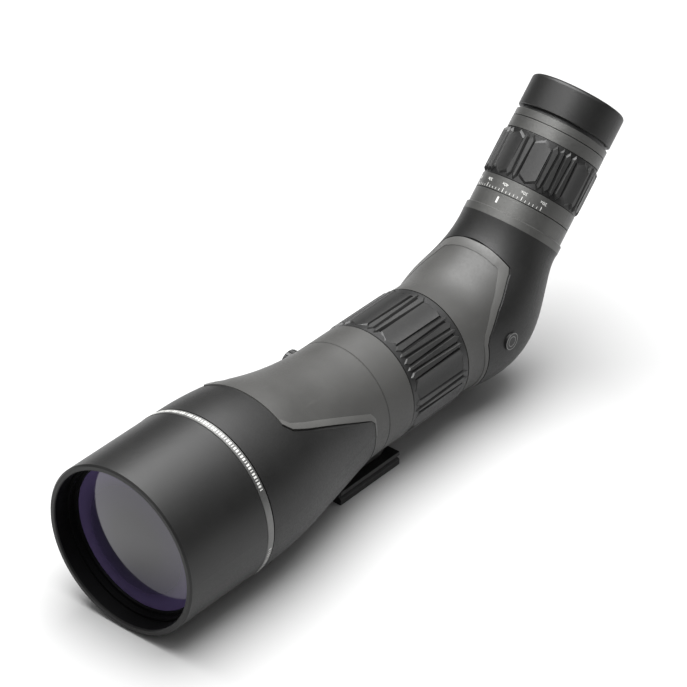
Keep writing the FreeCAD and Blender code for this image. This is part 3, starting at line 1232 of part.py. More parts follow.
def eyecup_sleeve():
    """Hard sleeve under the eyecup rubber, keyed to the guide ring."""
    body = new_body("eyecup_sleeve")
    top = "eyecup_station + eyecup_length - eyecup_roof"
    corners = [("sleeve_bore", "top_floor + ring_seam"), ("sleeve_radius", "top_floor + ring_seam"),
               ("sleeve_radius", top), ("eyecup_mouth", top), ("eyecup_mouth", f"{top} - eyecup_lip"),
               ("sleeve_bore", f"{top} - eyecup_lip")]
    revolve(body, outline(body, "sleeve_profile", corners))
    outer = "guide_radius + key_height + 0.1"
    low, high = "top_floor", f"{top} - eyecup_lip - 0.5"
    keyway = [(f"-({outer})", low), (outer, low), (outer, high), (f"-({outer})", high)]
    pocket(body, outline(body, "keyways", keyway), "key_width + 0.1", both=True)
    body.Placement = on_eyepiece()
    return body


def eyecup_rubber():
    """Soft cup with a rounded brow edge."""
    body = new_body("eyecup_rubber")
    top = "eyecup_station + eyecup_length"
    inside_top = f"{top} - eyecup_roof"
    corners = [("sleeve_radius", "eyecup_station"), ("eyecup_radius - 0.4", "eyecup_station"),
               ("eyecup_radius", "eyecup_station + 0.4"), ("eyecup_radius", top), ("eyecup_mouth", top),
               ("eyecup_mouth", inside_top), ("sleeve_radius", inside_top)]
    turned = revolve(body, outline(body, "eyecup_profile", corners))
    doc.recompute()
    rim = amount("eyecup_station + eyecup_length")
    brow = body.newObject("PartDesign::Fillet", "brow_edge")
    edges = [f"Edge{k + 1}" for k, edge in enumerate(turned.Shape.Edges)
             if on_circle(edge, size("eyecup_radius"), rim)]
    brow.Base = (turned, edges)
    drive(brow, "Radius", "eyecup_round")
    body.Tip = brow
    body.Placement = on_eyepiece()
    return body


def on_circle(edge, radius, station):
    """Whether an edge is the circle of this radius at this station."""
    curve = edge.Curve
    if not isinstance(curve, Part.Circle):
        return False
    return abs(curve.Radius - radius) < 0.01 and abs(curve.Center.y - station) < 0.01


# --- Assembly and export ---------------------------------------------------------------------------

NODES = [
    "tripod_collar", "mounting_foot", "thread_insert", "foot_screw_left", "foot_screw_right",
    "lock_knob", "lock_stem", "brake_shoe",
    "sunshade_sleeve", "sunshade_rubber", "sunshade_band",
    "main_body", "front_armor", "objective_barrel", "objective_cell", "objective_ring", "front_lens",
    "lens_spacer", "rear_lens", "stray_light_ring", "collar_retainer", "focus_guide_tube",
    "focus_ring_core", "focus_grip", "focus_carriage", "focus_lens", "focus_pin",
    "prism_housing", "rear_armor", "badge", "prism_frame", "roof_prism", "prism_strap",
    "strap_screw_left", "strap_screw_right",
    "eyepiece_collar", "index_ring", "eyepiece_tube", "field_lens", "field_stop", "eye_lens",
    "eye_lens_ring", "top_ring", "neck_cap",
    "zoom_ring_core", "zoom_grip", "zoom_cam_sleeve", "zoom_cell_lower", "zoom_lens_lower",
    "zoom_pin_lower", "zoom_cell_upper", "zoom_lens_upper", "zoom_pin_upper",
    "eyecup_guide_ring", "eyecup_sleeve", "eyecup_rubber",
]


def build():
    """Make every part in its place."""
    tripod_collar()
    mounting_foot()
    thread_insert()
    lock_knob()
    lock_stem()
    brake_shoe()
    sunshade_sleeve()
    sunshade_rubber()
    sunshade_band()
    objective_barrel()
    objective_cell()
    objective_ring()
    objective_glass()
    body_castings()
    stray_light_ring()
    collar_retainer()
    focus_guide_tube()
    focus_ring_core()
    grip("focus_grip", on_tube(), "focus_core_radius", "focus_grip_radius", "focus_station + focus_lip_width",
         "focus_rear - focus_lip_width", "focus_grip_grooves")
    focus_carriage()
    focus_optics()
    outside = prism_housing()
    rear_armor(outside)
    badge()
    roof_prism()
    prism_frame()
    prism_strap()
    eyepiece_collar()
    index_ring()
    eyepiece_tube()
    eyepiece_optics()
    top_ring()
    neck_cap()
    zoom_ring_core()
    grip("zoom_grip", on_eyepiece(), "zoom_core_radius", "zoom_grip_radius", "zoom_grip_start",
         "zoom_grip_end", "zoom_grip_grooves")
    zoom_cam_sleeve()
    zoom_cell("lower", "lower_cell", 0)
    zoom_cell("upper", "upper_cell", upper_pin_angle())
    eyecup_guide_ring()
    eyecup_sleeve()
    eyecup_rubber()
    for side in (-1, 1):
        foot_screw(side)
        strap_screw(side)
    doc.recompute()


def check():
    """Stop if any object failed, or any node is not one sound solid."""
    for thing in doc.Objects:
        if "Invalid" in thing.State or "Error" in thing.State:
            raise RuntimeError(f"{thing.Name}: {thing.State}")
    for name in NODES:
        shape = doc.getObjectsByLabel(name)[0].Shape
        if shape.isNull() or not shape.isValid():
            raise RuntimeError(f"{name} has no sound shape")


def export():
    """One STEP file per node."""
    os.makedirs("parts", exist_ok=True)
    for name in NODES:
        doc.getObjectsByLabel(name)[0].Shape.exportStep(f"parts/{name}.step")


fill_sheet()
build()
check()
export()
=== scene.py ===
import math

import bmesh
import bpy
from mathutils import Matrix, Vector


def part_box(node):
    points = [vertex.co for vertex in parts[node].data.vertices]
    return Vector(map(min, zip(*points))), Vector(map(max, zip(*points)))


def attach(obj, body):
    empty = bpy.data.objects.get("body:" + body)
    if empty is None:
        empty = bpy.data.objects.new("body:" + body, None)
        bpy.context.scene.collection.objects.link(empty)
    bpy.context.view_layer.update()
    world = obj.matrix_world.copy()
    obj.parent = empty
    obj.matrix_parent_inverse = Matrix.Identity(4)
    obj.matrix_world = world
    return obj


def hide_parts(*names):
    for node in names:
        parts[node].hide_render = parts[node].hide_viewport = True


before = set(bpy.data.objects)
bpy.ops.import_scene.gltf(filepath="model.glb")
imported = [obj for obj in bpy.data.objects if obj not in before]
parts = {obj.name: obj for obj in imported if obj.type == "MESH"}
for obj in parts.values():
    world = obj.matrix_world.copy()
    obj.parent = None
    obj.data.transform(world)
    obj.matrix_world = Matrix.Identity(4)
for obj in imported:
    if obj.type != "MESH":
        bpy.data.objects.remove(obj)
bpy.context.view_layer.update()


# Tripod mount. A cast aluminium collar turns round the rear of the body, over a machined foot.
# The collar has the grey sprayed coat of the castings, a fine dry texture. The foot is hard
# anodised black, held by two cap screws, with a steel thread insert for the tripod screw.
def sprayed(name, dark, light, rough=(0.42, 0.56), grain=0.0006, depth=0.00003, metal=0.0, shine=0.5):
    """Finish with a soft mottle of two tones, a fine grain and faint handling marks."""
    finish = bpy.data.materials.new(name)
    finish.use_nodes = True
    nodes, links = finish.node_tree.nodes, finish.node_tree.links
    shader = nodes["Principled BSDF"]
    shader.inputs["Metallic"].default_value = metal
    shader.inputs["Specular IOR Level"].default_value = shine
    place = nodes.new("ShaderNodeTexCoord")

    mottle = nodes.new("ShaderNodeTexNoise")
    mottle.inputs["Scale"].default_value = 38
    mottle.inputs["Detail"].default_value = 5
    links.new(place.outputs["Object"], mottle.inputs["Vector"])
    tones = nodes.new("ShaderNodeValToRGB")
    tones.color_ramp.elements[0].position = 0.32
    tones.color_ramp.elements[0].color = (*dark, 1)
    tones.color_ramp.elements[1].position = 0.68
    tones.color_ramp.elements[1].color = (*light, 1)
    links.new(mottle.outputs["Fac"], tones.inputs["Fac"])

    stretch = nodes.new("ShaderNodeMapping")
    stretch.inputs["Rotation"].default_value = (0.3, 0.2, 0.5)
    stretch.inputs["Scale"].default_value = (160, 26, 160)
    links.new(place.outputs["Object"], stretch.inputs["Vector"])
    marks = nodes.new("ShaderNodeTexNoise")
    marks.inputs["Scale"].default_value = 1
    marks.inputs["Detail"].default_value = 6
    marks.inputs["Roughness"].default_value = 0.7
    links.new(stretch.outputs["Vector"], marks.inputs["Vector"])
    wear_and_groove_shade = nodes.new("ShaderNodeMapRange")
    wear_and_groove_shade.inputs["From Min"].default_value = 0.60
    wear_and_groove_shade.inputs["From Max"].default_value = 0.78
    wear_and_groove_shade.inputs["To Max"].default_value = 0.22
    links.new(marks.outputs["Fac"], wear_and_groove_shade.inputs["Value"])
    worn = nodes.new("ShaderNodeMix")
    worn.data_type = "RGBA"
    worn.inputs[7].default_value = (*(min(1, tone * 1.7 + 0.01) for tone in light), 1)
    links.new(wear_and_groove_shade.outputs["Result"], worn.inputs[0])
    links.new(tones.outputs["Color"], worn.inputs[6])
    links.new(worn.outputs[2], shader.inputs["Base Color"])

    specks = nodes.new("ShaderNodeTexNoise")
    specks.inputs["Scale"].default_value = 0.45 / grain
    specks.inputs["Detail"].default_value = 3
    links.new(place.outputs["Object"], specks.inputs["Vector"])
    gloss = nodes.new("ShaderNodeMapRange")
    gloss.inputs["From Min"].default_value = 0.3
    gloss.inputs["From Max"].default_value = 0.7
    gloss.inputs["To Min"].default_value = rough[0]
    gloss.inputs["To Max"].default_value = rough[1]
    links.new(specks.outputs["Fac"], gloss.inputs["Value"])
    links.new(gloss.outputs["Result"], shader.inputs["Roughness"])

    pores = nodes.new("ShaderNodeTexVoronoi")
    pores.inputs["Scale"].default_value = 1 / grain
    links.new(place.outputs["Object"], pores.inputs["Vector"])
    relief = nodes.new("ShaderNodeMath")
    relief.operation = "ADD"
    links.new(pores.outputs["Distance"], relief.inputs[0])
    links.new(specks.outputs["Fac"], relief.inputs[1])
    bump = nodes.new("ShaderNodeBump")
    bump.inputs["Strength"].default_value = 0.6
    bump.inputs["Distance"].default_value = depth
    links.new(relief.outputs["Value"], bump.inputs["Height"])
    links.new(bump.outputs["Normal"], shader.inputs["Normal"])
    return finish


def coat(finish, *names):
    """Gives CAD nodes a finish."""
    for name in names:
        mesh = parts[name].data
        mesh.materials.clear()
        mesh.materials.append(finish)


grey_coat = sprayed("grey_coat", (0.034, 0.0337, 0.0323), (0.044, 0.0437, 0.0420), (0.42, 0.52), shine=0.34)
black_coat = sprayed("black_coat", (0.006, 0.006, 0.006), (0.012, 0.012, 0.012), (0.30, 0.46))
steel = sprayed("steel", (0.48, 0.48, 0.48), (0.58, 0.57, 0.56), (0.20, 0.38), metal=1.0)
black_steel = sprayed("black_steel", (0.020, 0.020, 0.021), (0.032, 0.032, 0.033), (0.26, 0.40), metal=0.6)
coat(grey_coat, "tripod_collar")
coat(black_coat, "mounting_foot")
coat(steel, "thread_insert")
coat(black_steel, "foot_screw_left", "foot_screw_right")


# Collar lock. A fluted black knob on a steel stem draws a small plastic shoe off the body's
# neck, on the side away from the eyepiece user's left hand.
shoe_plastic = sprayed("shoe_plastic", (0.020, 0.020, 0.021), (0.030, 0.030, 0.031), (0.45, 0.6))
coat(black_coat, "lock_knob")
coat(steel, "lock_stem")
coat(shoe_plastic, "brake_shoe")


# Objective. Two lenses sit in the blackened mouth of the front barrel, edge on edge with a
# spacer between them, under a threaded ring. The front glass is coated, and its coating's violet reflection is
# painted into its colour towards the rim.
TUBE_HEIGHT = (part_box("objective_barrel")[0].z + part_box("objective_barrel")[1].z) / 2


def coated_glass(name, edge_radius):
    """Dark polished glass with a painted reflection: its colour turns violet towards the rim for the coating's
    reflection.
    """
    finish = bpy.data.materials.new(name)
    finish.use_nodes = True
    nodes, links = finish.node_tree.nodes, finish.node_tree.links
    shader = nodes["Principled BSDF"]
    shader.inputs["IOR"].default_value = 1.75
    place = nodes.new("ShaderNodeTexCoord")
    centred = nodes.new("ShaderNodeMapping")
    centred.inputs["Location"].default_value = (0, 0, -TUBE_HEIGHT)
    centred.inputs["Scale"].default_value = (1, 0, 1)
    links.new(place.outputs["Object"], centred.inputs["Vector"])
    radius = nodes.new("ShaderNodeVectorMath")
    radius.operation = "LENGTH"
    links.new(centred.outputs["Vector"], radius.inputs[0])
    share = nodes.new("ShaderNodeMath")
    share.operation = "DIVIDE"
    share.inputs[1].default_value = edge_radius
    links.new(radius.outputs["Value"], share.inputs[0])
    # Painted reflection: the base colour runs from near black at the centre to the coating's violet at the rim.
    violet_rim_reflection = nodes.new("ShaderNodeValToRGB")
    violet_rim_reflection.color_ramp.elements[0].position = 0.35
    violet_rim_reflection.color_ramp.elements[0].color = (0.012, 0.011, 0.016, 1)
    violet_rim_reflection.color_ramp.elements[1].position = 1.0
    violet_rim_reflection.color_ramp.elements[1].color = (0.105, 0.078, 0.185, 1)
    middle = violet_rim_reflection.color_ramp.elements.new(0.72)
    middle.color = (0.028, 0.022, 0.050, 1)
    links.new(share.outputs["Value"], violet_rim_reflection.inputs["Fac"])
    dust = nodes.new("ShaderNodeTexNoise")
    dust.inputs["Scale"].default_value = 120
    dust.inputs["Detail"].default_value = 4
    links.new(place.outputs["Object"], dust.inputs["Vector"])
    haze = nodes.new("ShaderNodeMapRange")
    haze.inputs["From Min"].default_value = 0.35
    haze.inputs["From Max"].default_value = 0.75
    haze.inputs["To Min"].default_value = 0.05
    haze.inputs["To Max"].default_value = 0.07
    links.new(dust.outputs["Fac"], haze.inputs["Value"])
    links.new(haze.outputs["Result"], shader.inputs["Roughness"])
    links.new(violet_rim_reflection.outputs["Color"], shader.inputs["Base Color"])
    return finish


black_anodised = sprayed("black_anodised", (0.0010, 0.0010, 0.0011), (0.0022, 0.0022, 0.0024), (0.55, 0.70),
                         shine=0.08)
inner_glass = sprayed("inner_glass", (0.010, 0.011, 0.016), (0.014, 0.014, 0.022), (0.03, 0.07))
coat(black_anodised, "objective_barrel", "objective_cell", "objective_ring")
coat(black_anodised, "lens_spacer", "stray_light_ring")
coat(coated_glass("objective_coating", 0.0403), "front_lens")
coat(inner_glass, "rear_lens")


# Body. The main casting is sprayed grey, and a bonded rubber armour covers its front and lower
# half. Where the armour stops, the casting has a sloping border that meets the rubber's edge.
def facing(node, start, way):
    """Point and outward normal where a ray meets a CAD node."""
    hit, point, normal, _ = parts[node].ray_cast(Vector(start), Vector(way).normalized())
    if not hit:
        raise ValueError(f"no surface of {node} from {start}")
    return point, normal


def on_surface(node, rise, side, spot):
    """Point over the surface at (kind, station, value): a height on the flank or an angle about the axis."""
    kind, station, value = spot
    y = station / 1000 - FRONT_OFFSET
    if kind == "height":
        start, way = Vector((side * 0.1, y, TUBE_HEIGHT + value / 1000)), Vector((-side, 0, 0))
    else:
        turn = math.radians(value)
        out = Vector((side * math.cos(turn), 0, math.sin(turn)))
        start, way = Vector((0, y, TUBE_HEIGHT)) + out * 0.12, -out
    point, normal = facing(node, start, way)
    return point + normal * rise


def outline(*legs):
    """Spots along legs, each (kind, first, last, count) from one (station, value) to another."""
    spots = []
    for kind, (y0, v0), (y1, v1), count in legs:
        spots += [(kind, y0 + (y1 - y0) * i / count, v0 + (v1 - v0) * i / count) for i in range(count)]
    return [*spots, (kind, y1, v1)]


def border(name, node, outer, inner, proud):
    """Closed sloping strip on a casting, from the armour's edge down to the panel."""
    bm = bmesh.new()
    rows = []
    sunk, inner_proud = -0.0004, 0.00022
    for line, level in ((outer, sunk), (outer, proud), (inner, inner_proud), (inner, sunk)):
        sides = [(1, spot) for spot in line] + [(-1, spot) for spot in line[-2:0:-1]]
        points = [on_surface(node, level(spot) if callable(level) else level, side, spot) for side, spot in sides]
        verts = [bm.verts.new(point) for point in points]
        rows.append([bm.edges.new((verts[i - 1], verts[i])) for i in range(len(verts))])
    for first in range(4):
        bmesh.ops.bridge_loops(bm, edges=rows[first - 1] + rows[first])
    bmesh.ops.recalc_face_normals(bm, faces=bm.faces)
    crest = [edge for edge in rows[1] if edge.is_valid]
    bmesh.ops.bevel(bm, geom=crest, affect="EDGES", offset=0.00025, segments=2, profile=0.5, material=-1)
    return piece(name, bm, border_highlight_coat, "scope_body", smooth=25)


def piece(name, bm, finish, body, smooth=30):
    """Turns a bmesh into an object that rides on a body."""
    mesh = bpy.data.meshes.new(name)
    bm.to_mesh(mesh)
    bm.free()
    mesh.materials.append(finish)
    made = bpy.data.objects.new(name, mesh)
    bpy.context.scene.collection.objects.link(made)
    mesh.shade_smooth()
    mesh.set_sharp_from_angle(angle=math.radians(smooth))
    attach(made, body)
    return made


FRONT_OFFSET = 0.171
armor_rubber = sprayed("armor_rubber", (0.0065, 0.0065, 0.0064), (0.0095, 0.0095, 0.0093), (0.38, 0.49),
                       grain=0.0005, depth=0.00004, shine=0.30)
# Painted highlight: the border strips take a lighter grey than the casting they belong to, for the light on their
# upward slope.
border_highlight_coat = sprayed("border_highlight_coat", (0.052, 0.0515, 0.0495), (0.064, 0.0635, 0.0610), (0.42, 0.54),
                      shine=0.38)
coat(grey_coat, "main_body")
coat(armor_rubber, "front_armor")
coat(black_anodised, "collar_retainer")

panel_outer = outline(
    ("turn", (91.5, 90), (91.5, 56), 14), ("height", (91.5, 37), (95.3, 33.7), 3),
    ("height", (95.3, 33.7), (152, 10.1), 16), ("height", (152, 10.1), (154.7, 7.4), 3),
    ("height", (154.7, 7.4), (154.7, -4), 3), ("turn", (154.7, -8), (154.7, -90), 20))
panel_inner = outline(
    ("turn", (92.7, 90), (93.4, 56), 14), ("height", (93.6, 38.4), (97.2, 35.6), 3),
    ("height", (97.2, 35.6), (153.8, 12.9), 16), ("height", (153.8, 12.9), (156.6, 9.0), 3),
    ("height", (156.6, 9.0), (156.2, -4), 3), ("turn", (156.2, -8), (156.2, -90), 20))
border("panel_border", "main_body", panel_outer, panel_inner,
       lambda spot: 0.00145 - 0.0000092 * (spot[1] - 91.5))


# Sunshade. A black anodised sleeve slides over the barrel, under a smooth rubber skin, and a
# bare metal band with a row of short plain dashes closes it at the rear.
def tube_frame():
    """Ring frame of the main tube: local Z runs rearwards along its axis, local X is the left side."""
    return Matrix.Translation((0, 0, TUBE_HEIGHT)) @ Matrix.Rotation(math.radians(-90), 4, "X")


def curled(bm, radius, frame_of_ring):
    """Bends a flat bmesh round a ring: X is degrees about its axis, Y the station, Z the height."""
    for vert in bm.verts:
        turn, station, height = vert.co
        turn = math.radians(turn)
        out = radius + height
        vert.co = (out * math.cos(turn), -out * math.sin(turn), station)
    bmesh.ops.transform(bm, matrix=frame_of_ring, verts=bm.verts)
    bmesh.ops.recalc_face_normals(bm, faces=bm.faces)


def flat_bar(bm, turn, station, wide, length, proud=0.00004):
    """Adds a bar of paint to a flat bmesh, wide in degrees and long along the axis, its foot sunk in."""
    low, high = -0.0001, proud
    made = bmesh.ops.create_cube(bm, size=1.0)["verts"]
    bmesh.ops.scale(bm, vec=(wide, length, high - low), verts=made)
    bmesh.ops.translate(bm, vec=(turn, station, (low + high) / 2), verts=made)


shade_rubber = sprayed("shade_rubber", (0.0060, 0.0060, 0.0059), (0.0085, 0.0085, 0.0083), (0.36, 0.46),
                       grain=0.0004, depth=0.00002, shine=0.34)
bare_band = sprayed("bare_band", (0.115, 0.115, 0.113), (0.150, 0.150, 0.147), (0.30, 0.42), metal=0.75)
mark_paint = sprayed("mark_paint", (0.40, 0.40, 0.39), (0.50, 0.50, 0.48), (0.4, 0.55))
coat(shade_rubber, "sunshade_rubber")
coat(black_anodised, "sunshade_sleeve")
coat(bare_band, "sunshade_band")

band_lo, band_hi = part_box("sunshade_band")
band_radius = (band_hi.x - band_lo.x) / 2
band_middle = (band_lo.y + band_hi.y) / 2
dashes = bmesh.new()
for count, start in ((52, 30.0), (17, -46.0)):
    for i in range(count):
        flat_bar(dashes, start + 2.1 * i, band_middle, 1.25 if i % 3 else 0.6, 0.0019)
curled(dashes, band_radius, tube_frame())
piece("band_dashes", dashes, mark_paint, "sunshade")


# Focus ring. Moulded rubber is bonded over an anodised ring. Broad faceted lands stand between
# clusters of slim ribs that narrow by turns to the front and to the rear, with mitred ends.
def tapered_rib(bm, turn, foot, crest_rear, crest_front, low, high, height, facets):
    """Rib on a flat bmesh: its foot has one width, its crest tapers and its two ends are mitred."""
    arc, mitre, hollow = 0.0005, 0.0034, 0.0008
    foot, crest_rear, crest_front = foot * arc, crest_rear * arc, crest_front * arc
    rib = bmesh.new()
    slab = bmesh.ops.create_cube(rib, size=1.0)["verts"]
    bmesh.ops.scale(rib, vec=(1, high - low, height), verts=slab)
    bmesh.ops.translate(rib, vec=(0, (low + high) / 2, height / 2), verts=slab)
    for vert in slab:
        crest = crest_rear if vert.co.y > (low + high) / 2 else crest_front
        vert.co.x *= crest if vert.co.z > height / 2 else foot
    cuts = []
    for end, sign in ((low, -1), (high, 1)):
        for flank in (-1, 1):
            corner = (flank * foot * 0.5, end - sign * mitre, 0)
            cuts.append((corner, (flank / foot, sign * 0.55 / mitre, 0.32 / height), True))
        cuts.append(((0, end, height * 0.35), (0, sign * 0.45, mitre * 0.45 / height), True))
    for i in range(1, facets):
        cuts.append(((foot * (i / facets - 0.5), 0, 0), (1, 0, 0), False))
    for point, normal, clear in cuts:
        geom = list(rib.verts) + list(rib.edges) + list(rib.faces)
        cut = bmesh.ops.bisect_plane(rib, geom=geom, plane_co=point, plane_no=Vector(normal).normalized(),
                                     clear_outer=clear)
        if clear:
            rim = [edge for edge in cut["geom_cut"] if isinstance(edge, bmesh.types.BMEdge)]
            bmesh.ops.contextual_create(rib, geom=rim)
        bmesh.ops.remove_doubles(rib, verts=rib.verts, dist=0.00001)
    if facets > 1:
        for vert in rib.verts:
            if vert.co.z > height * 0.9:
                vert.co.z -= hollow * max(0.0, 1 - (2 * vert.co.x / crest_front) ** 2)
    bmesh.ops.dissolve_degenerate(rib, edges=rib.edges, dist=0.00001)
    bmesh.ops.scale(rib, vec=(1 / arc, 1, 1), verts=rib.verts)
    bmesh.ops.translate(rib, vec=(turn, 0, 0), verts=rib.verts)
    part = bpy.data.meshes.new("rib")
    rib.to_mesh(part)
    rib.free()
    bm.from_mesh(part)
    bpy.data.meshes.remove(part)


def grip_finish(name, frame_of_ring, floor, crest):
    """Moulded rubber with painted shade: its colour is darkened down in the grooves and left lighter on the rib
    crests.
    """
    finish = sprayed(name, (0.0140, 0.0140, 0.0138), (0.0195, 0.0195, 0.0192), (0.36, 0.48),
                     grain=0.0005, shine=0.36)
    nodes, links = finish.node_tree.nodes, finish.node_tree.links
    shade = nodes["Principled BSDF"].inputs["Base Color"]
    place = nodes.new("ShaderNodeTexCoord")
    centred = nodes.new("ShaderNodeVectorMath")
    centred.operation = "SUBTRACT"
    centred.inputs[1].default_value = frame_of_ring.translation
    links.new(place.outputs["Object"], centred.inputs[0])
    across = nodes.new("ShaderNodeVectorMath")
    across.operation = "CROSS_PRODUCT"
    across.inputs[1].default_value = frame_of_ring.col[2].to_3d()
    links.new(centred.outputs["Vector"], across.inputs[0])
    radius = nodes.new("ShaderNodeVectorMath")
    radius.operation = "LENGTH"
    links.new(across.outputs["Vector"], radius.inputs[0])
    # Painted shade: the base colour is scaled from full at the crest radius down to a fifth at the groove floor.
    wear_and_groove_shade = nodes.new("ShaderNodeMapRange")
    wear_and_groove_shade.inputs["From Min"].default_value = floor
    wear_and_groove_shade.inputs["From Max"].default_value = crest
    wear_and_groove_shade.inputs["To Min"].default_value = 0.2
    links.new(radius.outputs["Value"], wear_and_groove_shade.inputs["Value"])
    toned = nodes.new("ShaderNodeVectorMath")
    toned.operation = "SCALE"
    links.new(shade.links[0].from_socket, toned.inputs[0])
    links.new(wear_and_groove_shade.outputs["Result"], toned.inputs["Scale"])
    links.new(toned.outputs["Vector"], shade)
    return finish


def rubber_grip(name, node, body, frame_of_ring, front, rear, core, land, groove, pattern):
    """Ribbed rubber sleeve in place of a CAD grip."""
    floor = land - groove
    finish = grip_finish(f"{node}_rubber", frame_of_ring, floor, land - 0.0002)
    bm = bmesh.new()
    for quarter in range(4):
        for turn, *widths, facets in pattern:
            tapered_rib(bm, turn + 90 * quarter, *widths, front, rear, groove, facets)
    curled(bm, floor, frame_of_ring)
    sleeve = bmesh.new()
    wall = [sleeve.verts.new((radius, 0, station)) for radius, station in
            ((core + 0.00002, front), (floor - 0.0001, front), (floor + 0.0002, front + 0.0005),
             (floor + 0.0002, rear - 0.0005), (floor - 0.0001, rear), (core + 0.00002, rear))]
    loop = [sleeve.edges.new((wall[i - 1], wall[i])) for i in range(6)]
    bmesh.ops.spin(sleeve, geom=wall + loop, cent=(0, 0, 0), axis=(0, 0, 1), angle=math.tau, steps=144,
                   use_merge=True)
    bmesh.ops.recalc_face_normals(sleeve, faces=sleeve.faces)
    bmesh.ops.transform(sleeve, matrix=frame_of_ring, verts=sleeve.verts)
    part = bpy.data.meshes.new("sleeve")
    sleeve.to_mesh(part)
    sleeve.free()
    bm.from_mesh(part)
    bpy.data.meshes.remove(part)
    made = piece(name, bm, finish, body, smooth=20)
    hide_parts(node)
    return made


dark_anodised = sprayed("dark_anodised", (0.062, 0.062, 0.060), (0.084, 0.084, 0.081), (0.34, 0.46),
                        metal=0.6)
black_ring = sprayed("black_ring", (0.012, 0.012, 0.012), (0.017, 0.017, 0.017), (0.35, 0.48), metal=0.3)
coat(black_ring, "focus_ring_core")
coat(black_anodised, "focus_guide_tube", "focus_carriage")
coat(inner_glass, "focus_lens")
brass = sprayed("brass", (0.50, 0.36, 0.14), (0.62, 0.45, 0.19), (0.25, 0.4), metal=1.0)
coat(brass, "focus_pin")

grip_lo, grip_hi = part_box("focus_grip")
ring_lo, ring_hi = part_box("focus_ring_core")
focus_pattern = [
    (14.1, 20.4, 18.8, 18.0, 6), (27.8, 7.0, 1.4, 5.4, 1), (34.8, 7.0, 5.4, 1.4, 1),
    (41.8, 7.0, 1.4, 5.4, 1), (48.8, 7.0, 5.4, 1.4, 1), (55.8, 7.0, 1.4, 5.4, 1),
    (69.5, 20.4, 18.8, 18.0, 6), (83.2, 7.1, 5.4, 1.4, 1), (90.3, 7.1, 1.4, 5.4, 1)]
focus_core, focus_groove, end_gap = 0.0322, 0.0014, 0.0002
rubber_grip("focus_grip_rubber", "focus_grip", "focus_ring", tube_frame(), ring_lo.y + end_gap, ring_hi.y - end_gap,
            focus_core, (grip_hi.x - grip_lo.x) / 2, focus_groove, focus_pattern)


# Prism housing. The elbow casting has the same grey coat and the same bonded armour, which
# wraps its rear and sides. A small plain disc is set into the armour on the left flank.
coat(grey_coat, "prism_housing")
coat(armor_rubber, "rear_armor")
rear_outer = outline(
    ("turn", (249.0, -90), (249.0, -8), 22), ("height", (249.0, -3), (249.0, 6.4), 3),
    ("height", (249.0, 6.4), (251.0, 10.2), 3), ("height", (251.0, 10.2), (261.7, 20.3), 6),
    ("height", (261.7, 20.3), (278.2, 32.2), 8), ("height", (278.2, 32.2), (280.3, 34.5), 2),
    ("height", (280.3, 34.5), (279.7, 37.5), 2), ("turn", (279.5, 67), (278.2, 90), 12))
rear_inner = outline(
    ("turn", (247.4, -90), (247.0, -8), 22), ("height", (246.8, -3), (246.6, 7.4), 3),
    ("height", (246.6, 7.4), (248.8, 11.6), 3), ("height", (248.8, 11.6), (258.8, 22.0), 6),
    ("height", (258.8, 22.0), (273.0, 32.9), 8), ("height", (273.0, 32.9), (275.1, 35.0), 2),
    ("height", (275.1, 35.0), (274.9, 37.6), 2), ("turn", (274.7, 67), (274.0, 90), 12))
border("elbow_border", "prism_housing", rear_outer, rear_inner, 0.00085)
badge_plastic = sprayed("badge_plastic", (0.004, 0.004, 0.004), (0.006, 0.006, 0.006), (0.34, 0.46),
                        shine=0.3)
coat(badge_plastic, "badge")
badge_lo, badge_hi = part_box("badge")
badge_ring = bmesh.new()
for radius in (0.0046, 0.0028):
    inner, outer = radius - 0.00022, radius + 0.00022
    rim = [badge_ring.verts.new((reach, 0, z)) for reach, z in
           ((inner, -0.0001), (inner, 0.00005), (outer, 0.00005), (outer, -0.0001))]
    loop = [badge_ring.edges.new((rim[i - 1], rim[i])) for i in range(4)]
    bmesh.ops.spin(badge_ring, geom=rim + loop, axis=(0, 0, 1), cent=(0, 0, 0), angle=math.tau, steps=64,
                   use_merge=True)
bmesh.ops.recalc_face_normals(badge_ring, faces=badge_ring.faces)
badge_face = Vector((badge_hi.x, (badge_lo.y + badge_hi.y) / 2, (badge_lo.z + badge_hi.z) / 2))
badge_frame = Matrix.Translation(badge_face) @ Matrix.Rotation(math.radians(90), 4, "Y")
bmesh.ops.transform(badge_ring, verts=badge_ring.verts, matrix=badge_frame)
ring_paint = sprayed("ring_paint", (0.10, 0.10, 0.098), (0.14, 0.14, 0.137), (0.3, 0.45))
piece("badge_ring", badge_ring, ring_paint, "scope_body")
coat(black_coat, "prism_frame", "prism_strap")
coat(black_steel, "strap_screw_left", "strap_screw_right")
coat(inner_glass, "roof_prism")


# Eyepiece base. Turned rings of dark anodised aluminium stack over the housing's mouth, and
# the upper one has a white index line. The optical tube and its lenses are inside.
def eyepiece_frame():
    """Ring frame of the eyepiece: local Z runs up its axis from the bend."""
    return Matrix.Translation((0, 0.1035, TUBE_HEIGHT)) @ Matrix.Rotation(math.radians(-45), 4, "X")


coat(dark_anodised, "eyepiece_collar", "index_ring", "top_ring")
coat(black_anodised, "eyepiece_tube", "field_stop", "eye_lens_ring", "neck_cap")
coat(inner_glass, "field_lens", "eye_lens")

ring_radius = 0.0274
index_line = bmesh.new()
flat_bar(index_line, 90, 0.0587, 2.2, 0.0035, 0.00005)
curled(index_line, ring_radius, eyepiece_frame())
piece("index_line", index_line, mark_paint, "scope_body")


# Zoom ring. The anodised ring carries the magnification scale, long and short ticks with plain
# numbers, and above it a rubber grip of the focus ring's pattern, but slimmer.
coat(dark_anodised, "zoom_ring_core")
coat(black_anodised, "zoom_cam_sleeve", "zoom_cell_lower", "zoom_cell_upper")
coat(brass, "zoom_pin_lower", "zoom_pin_upper")
coat(inner_glass, "zoom_lens_lower", "zoom_lens_upper")

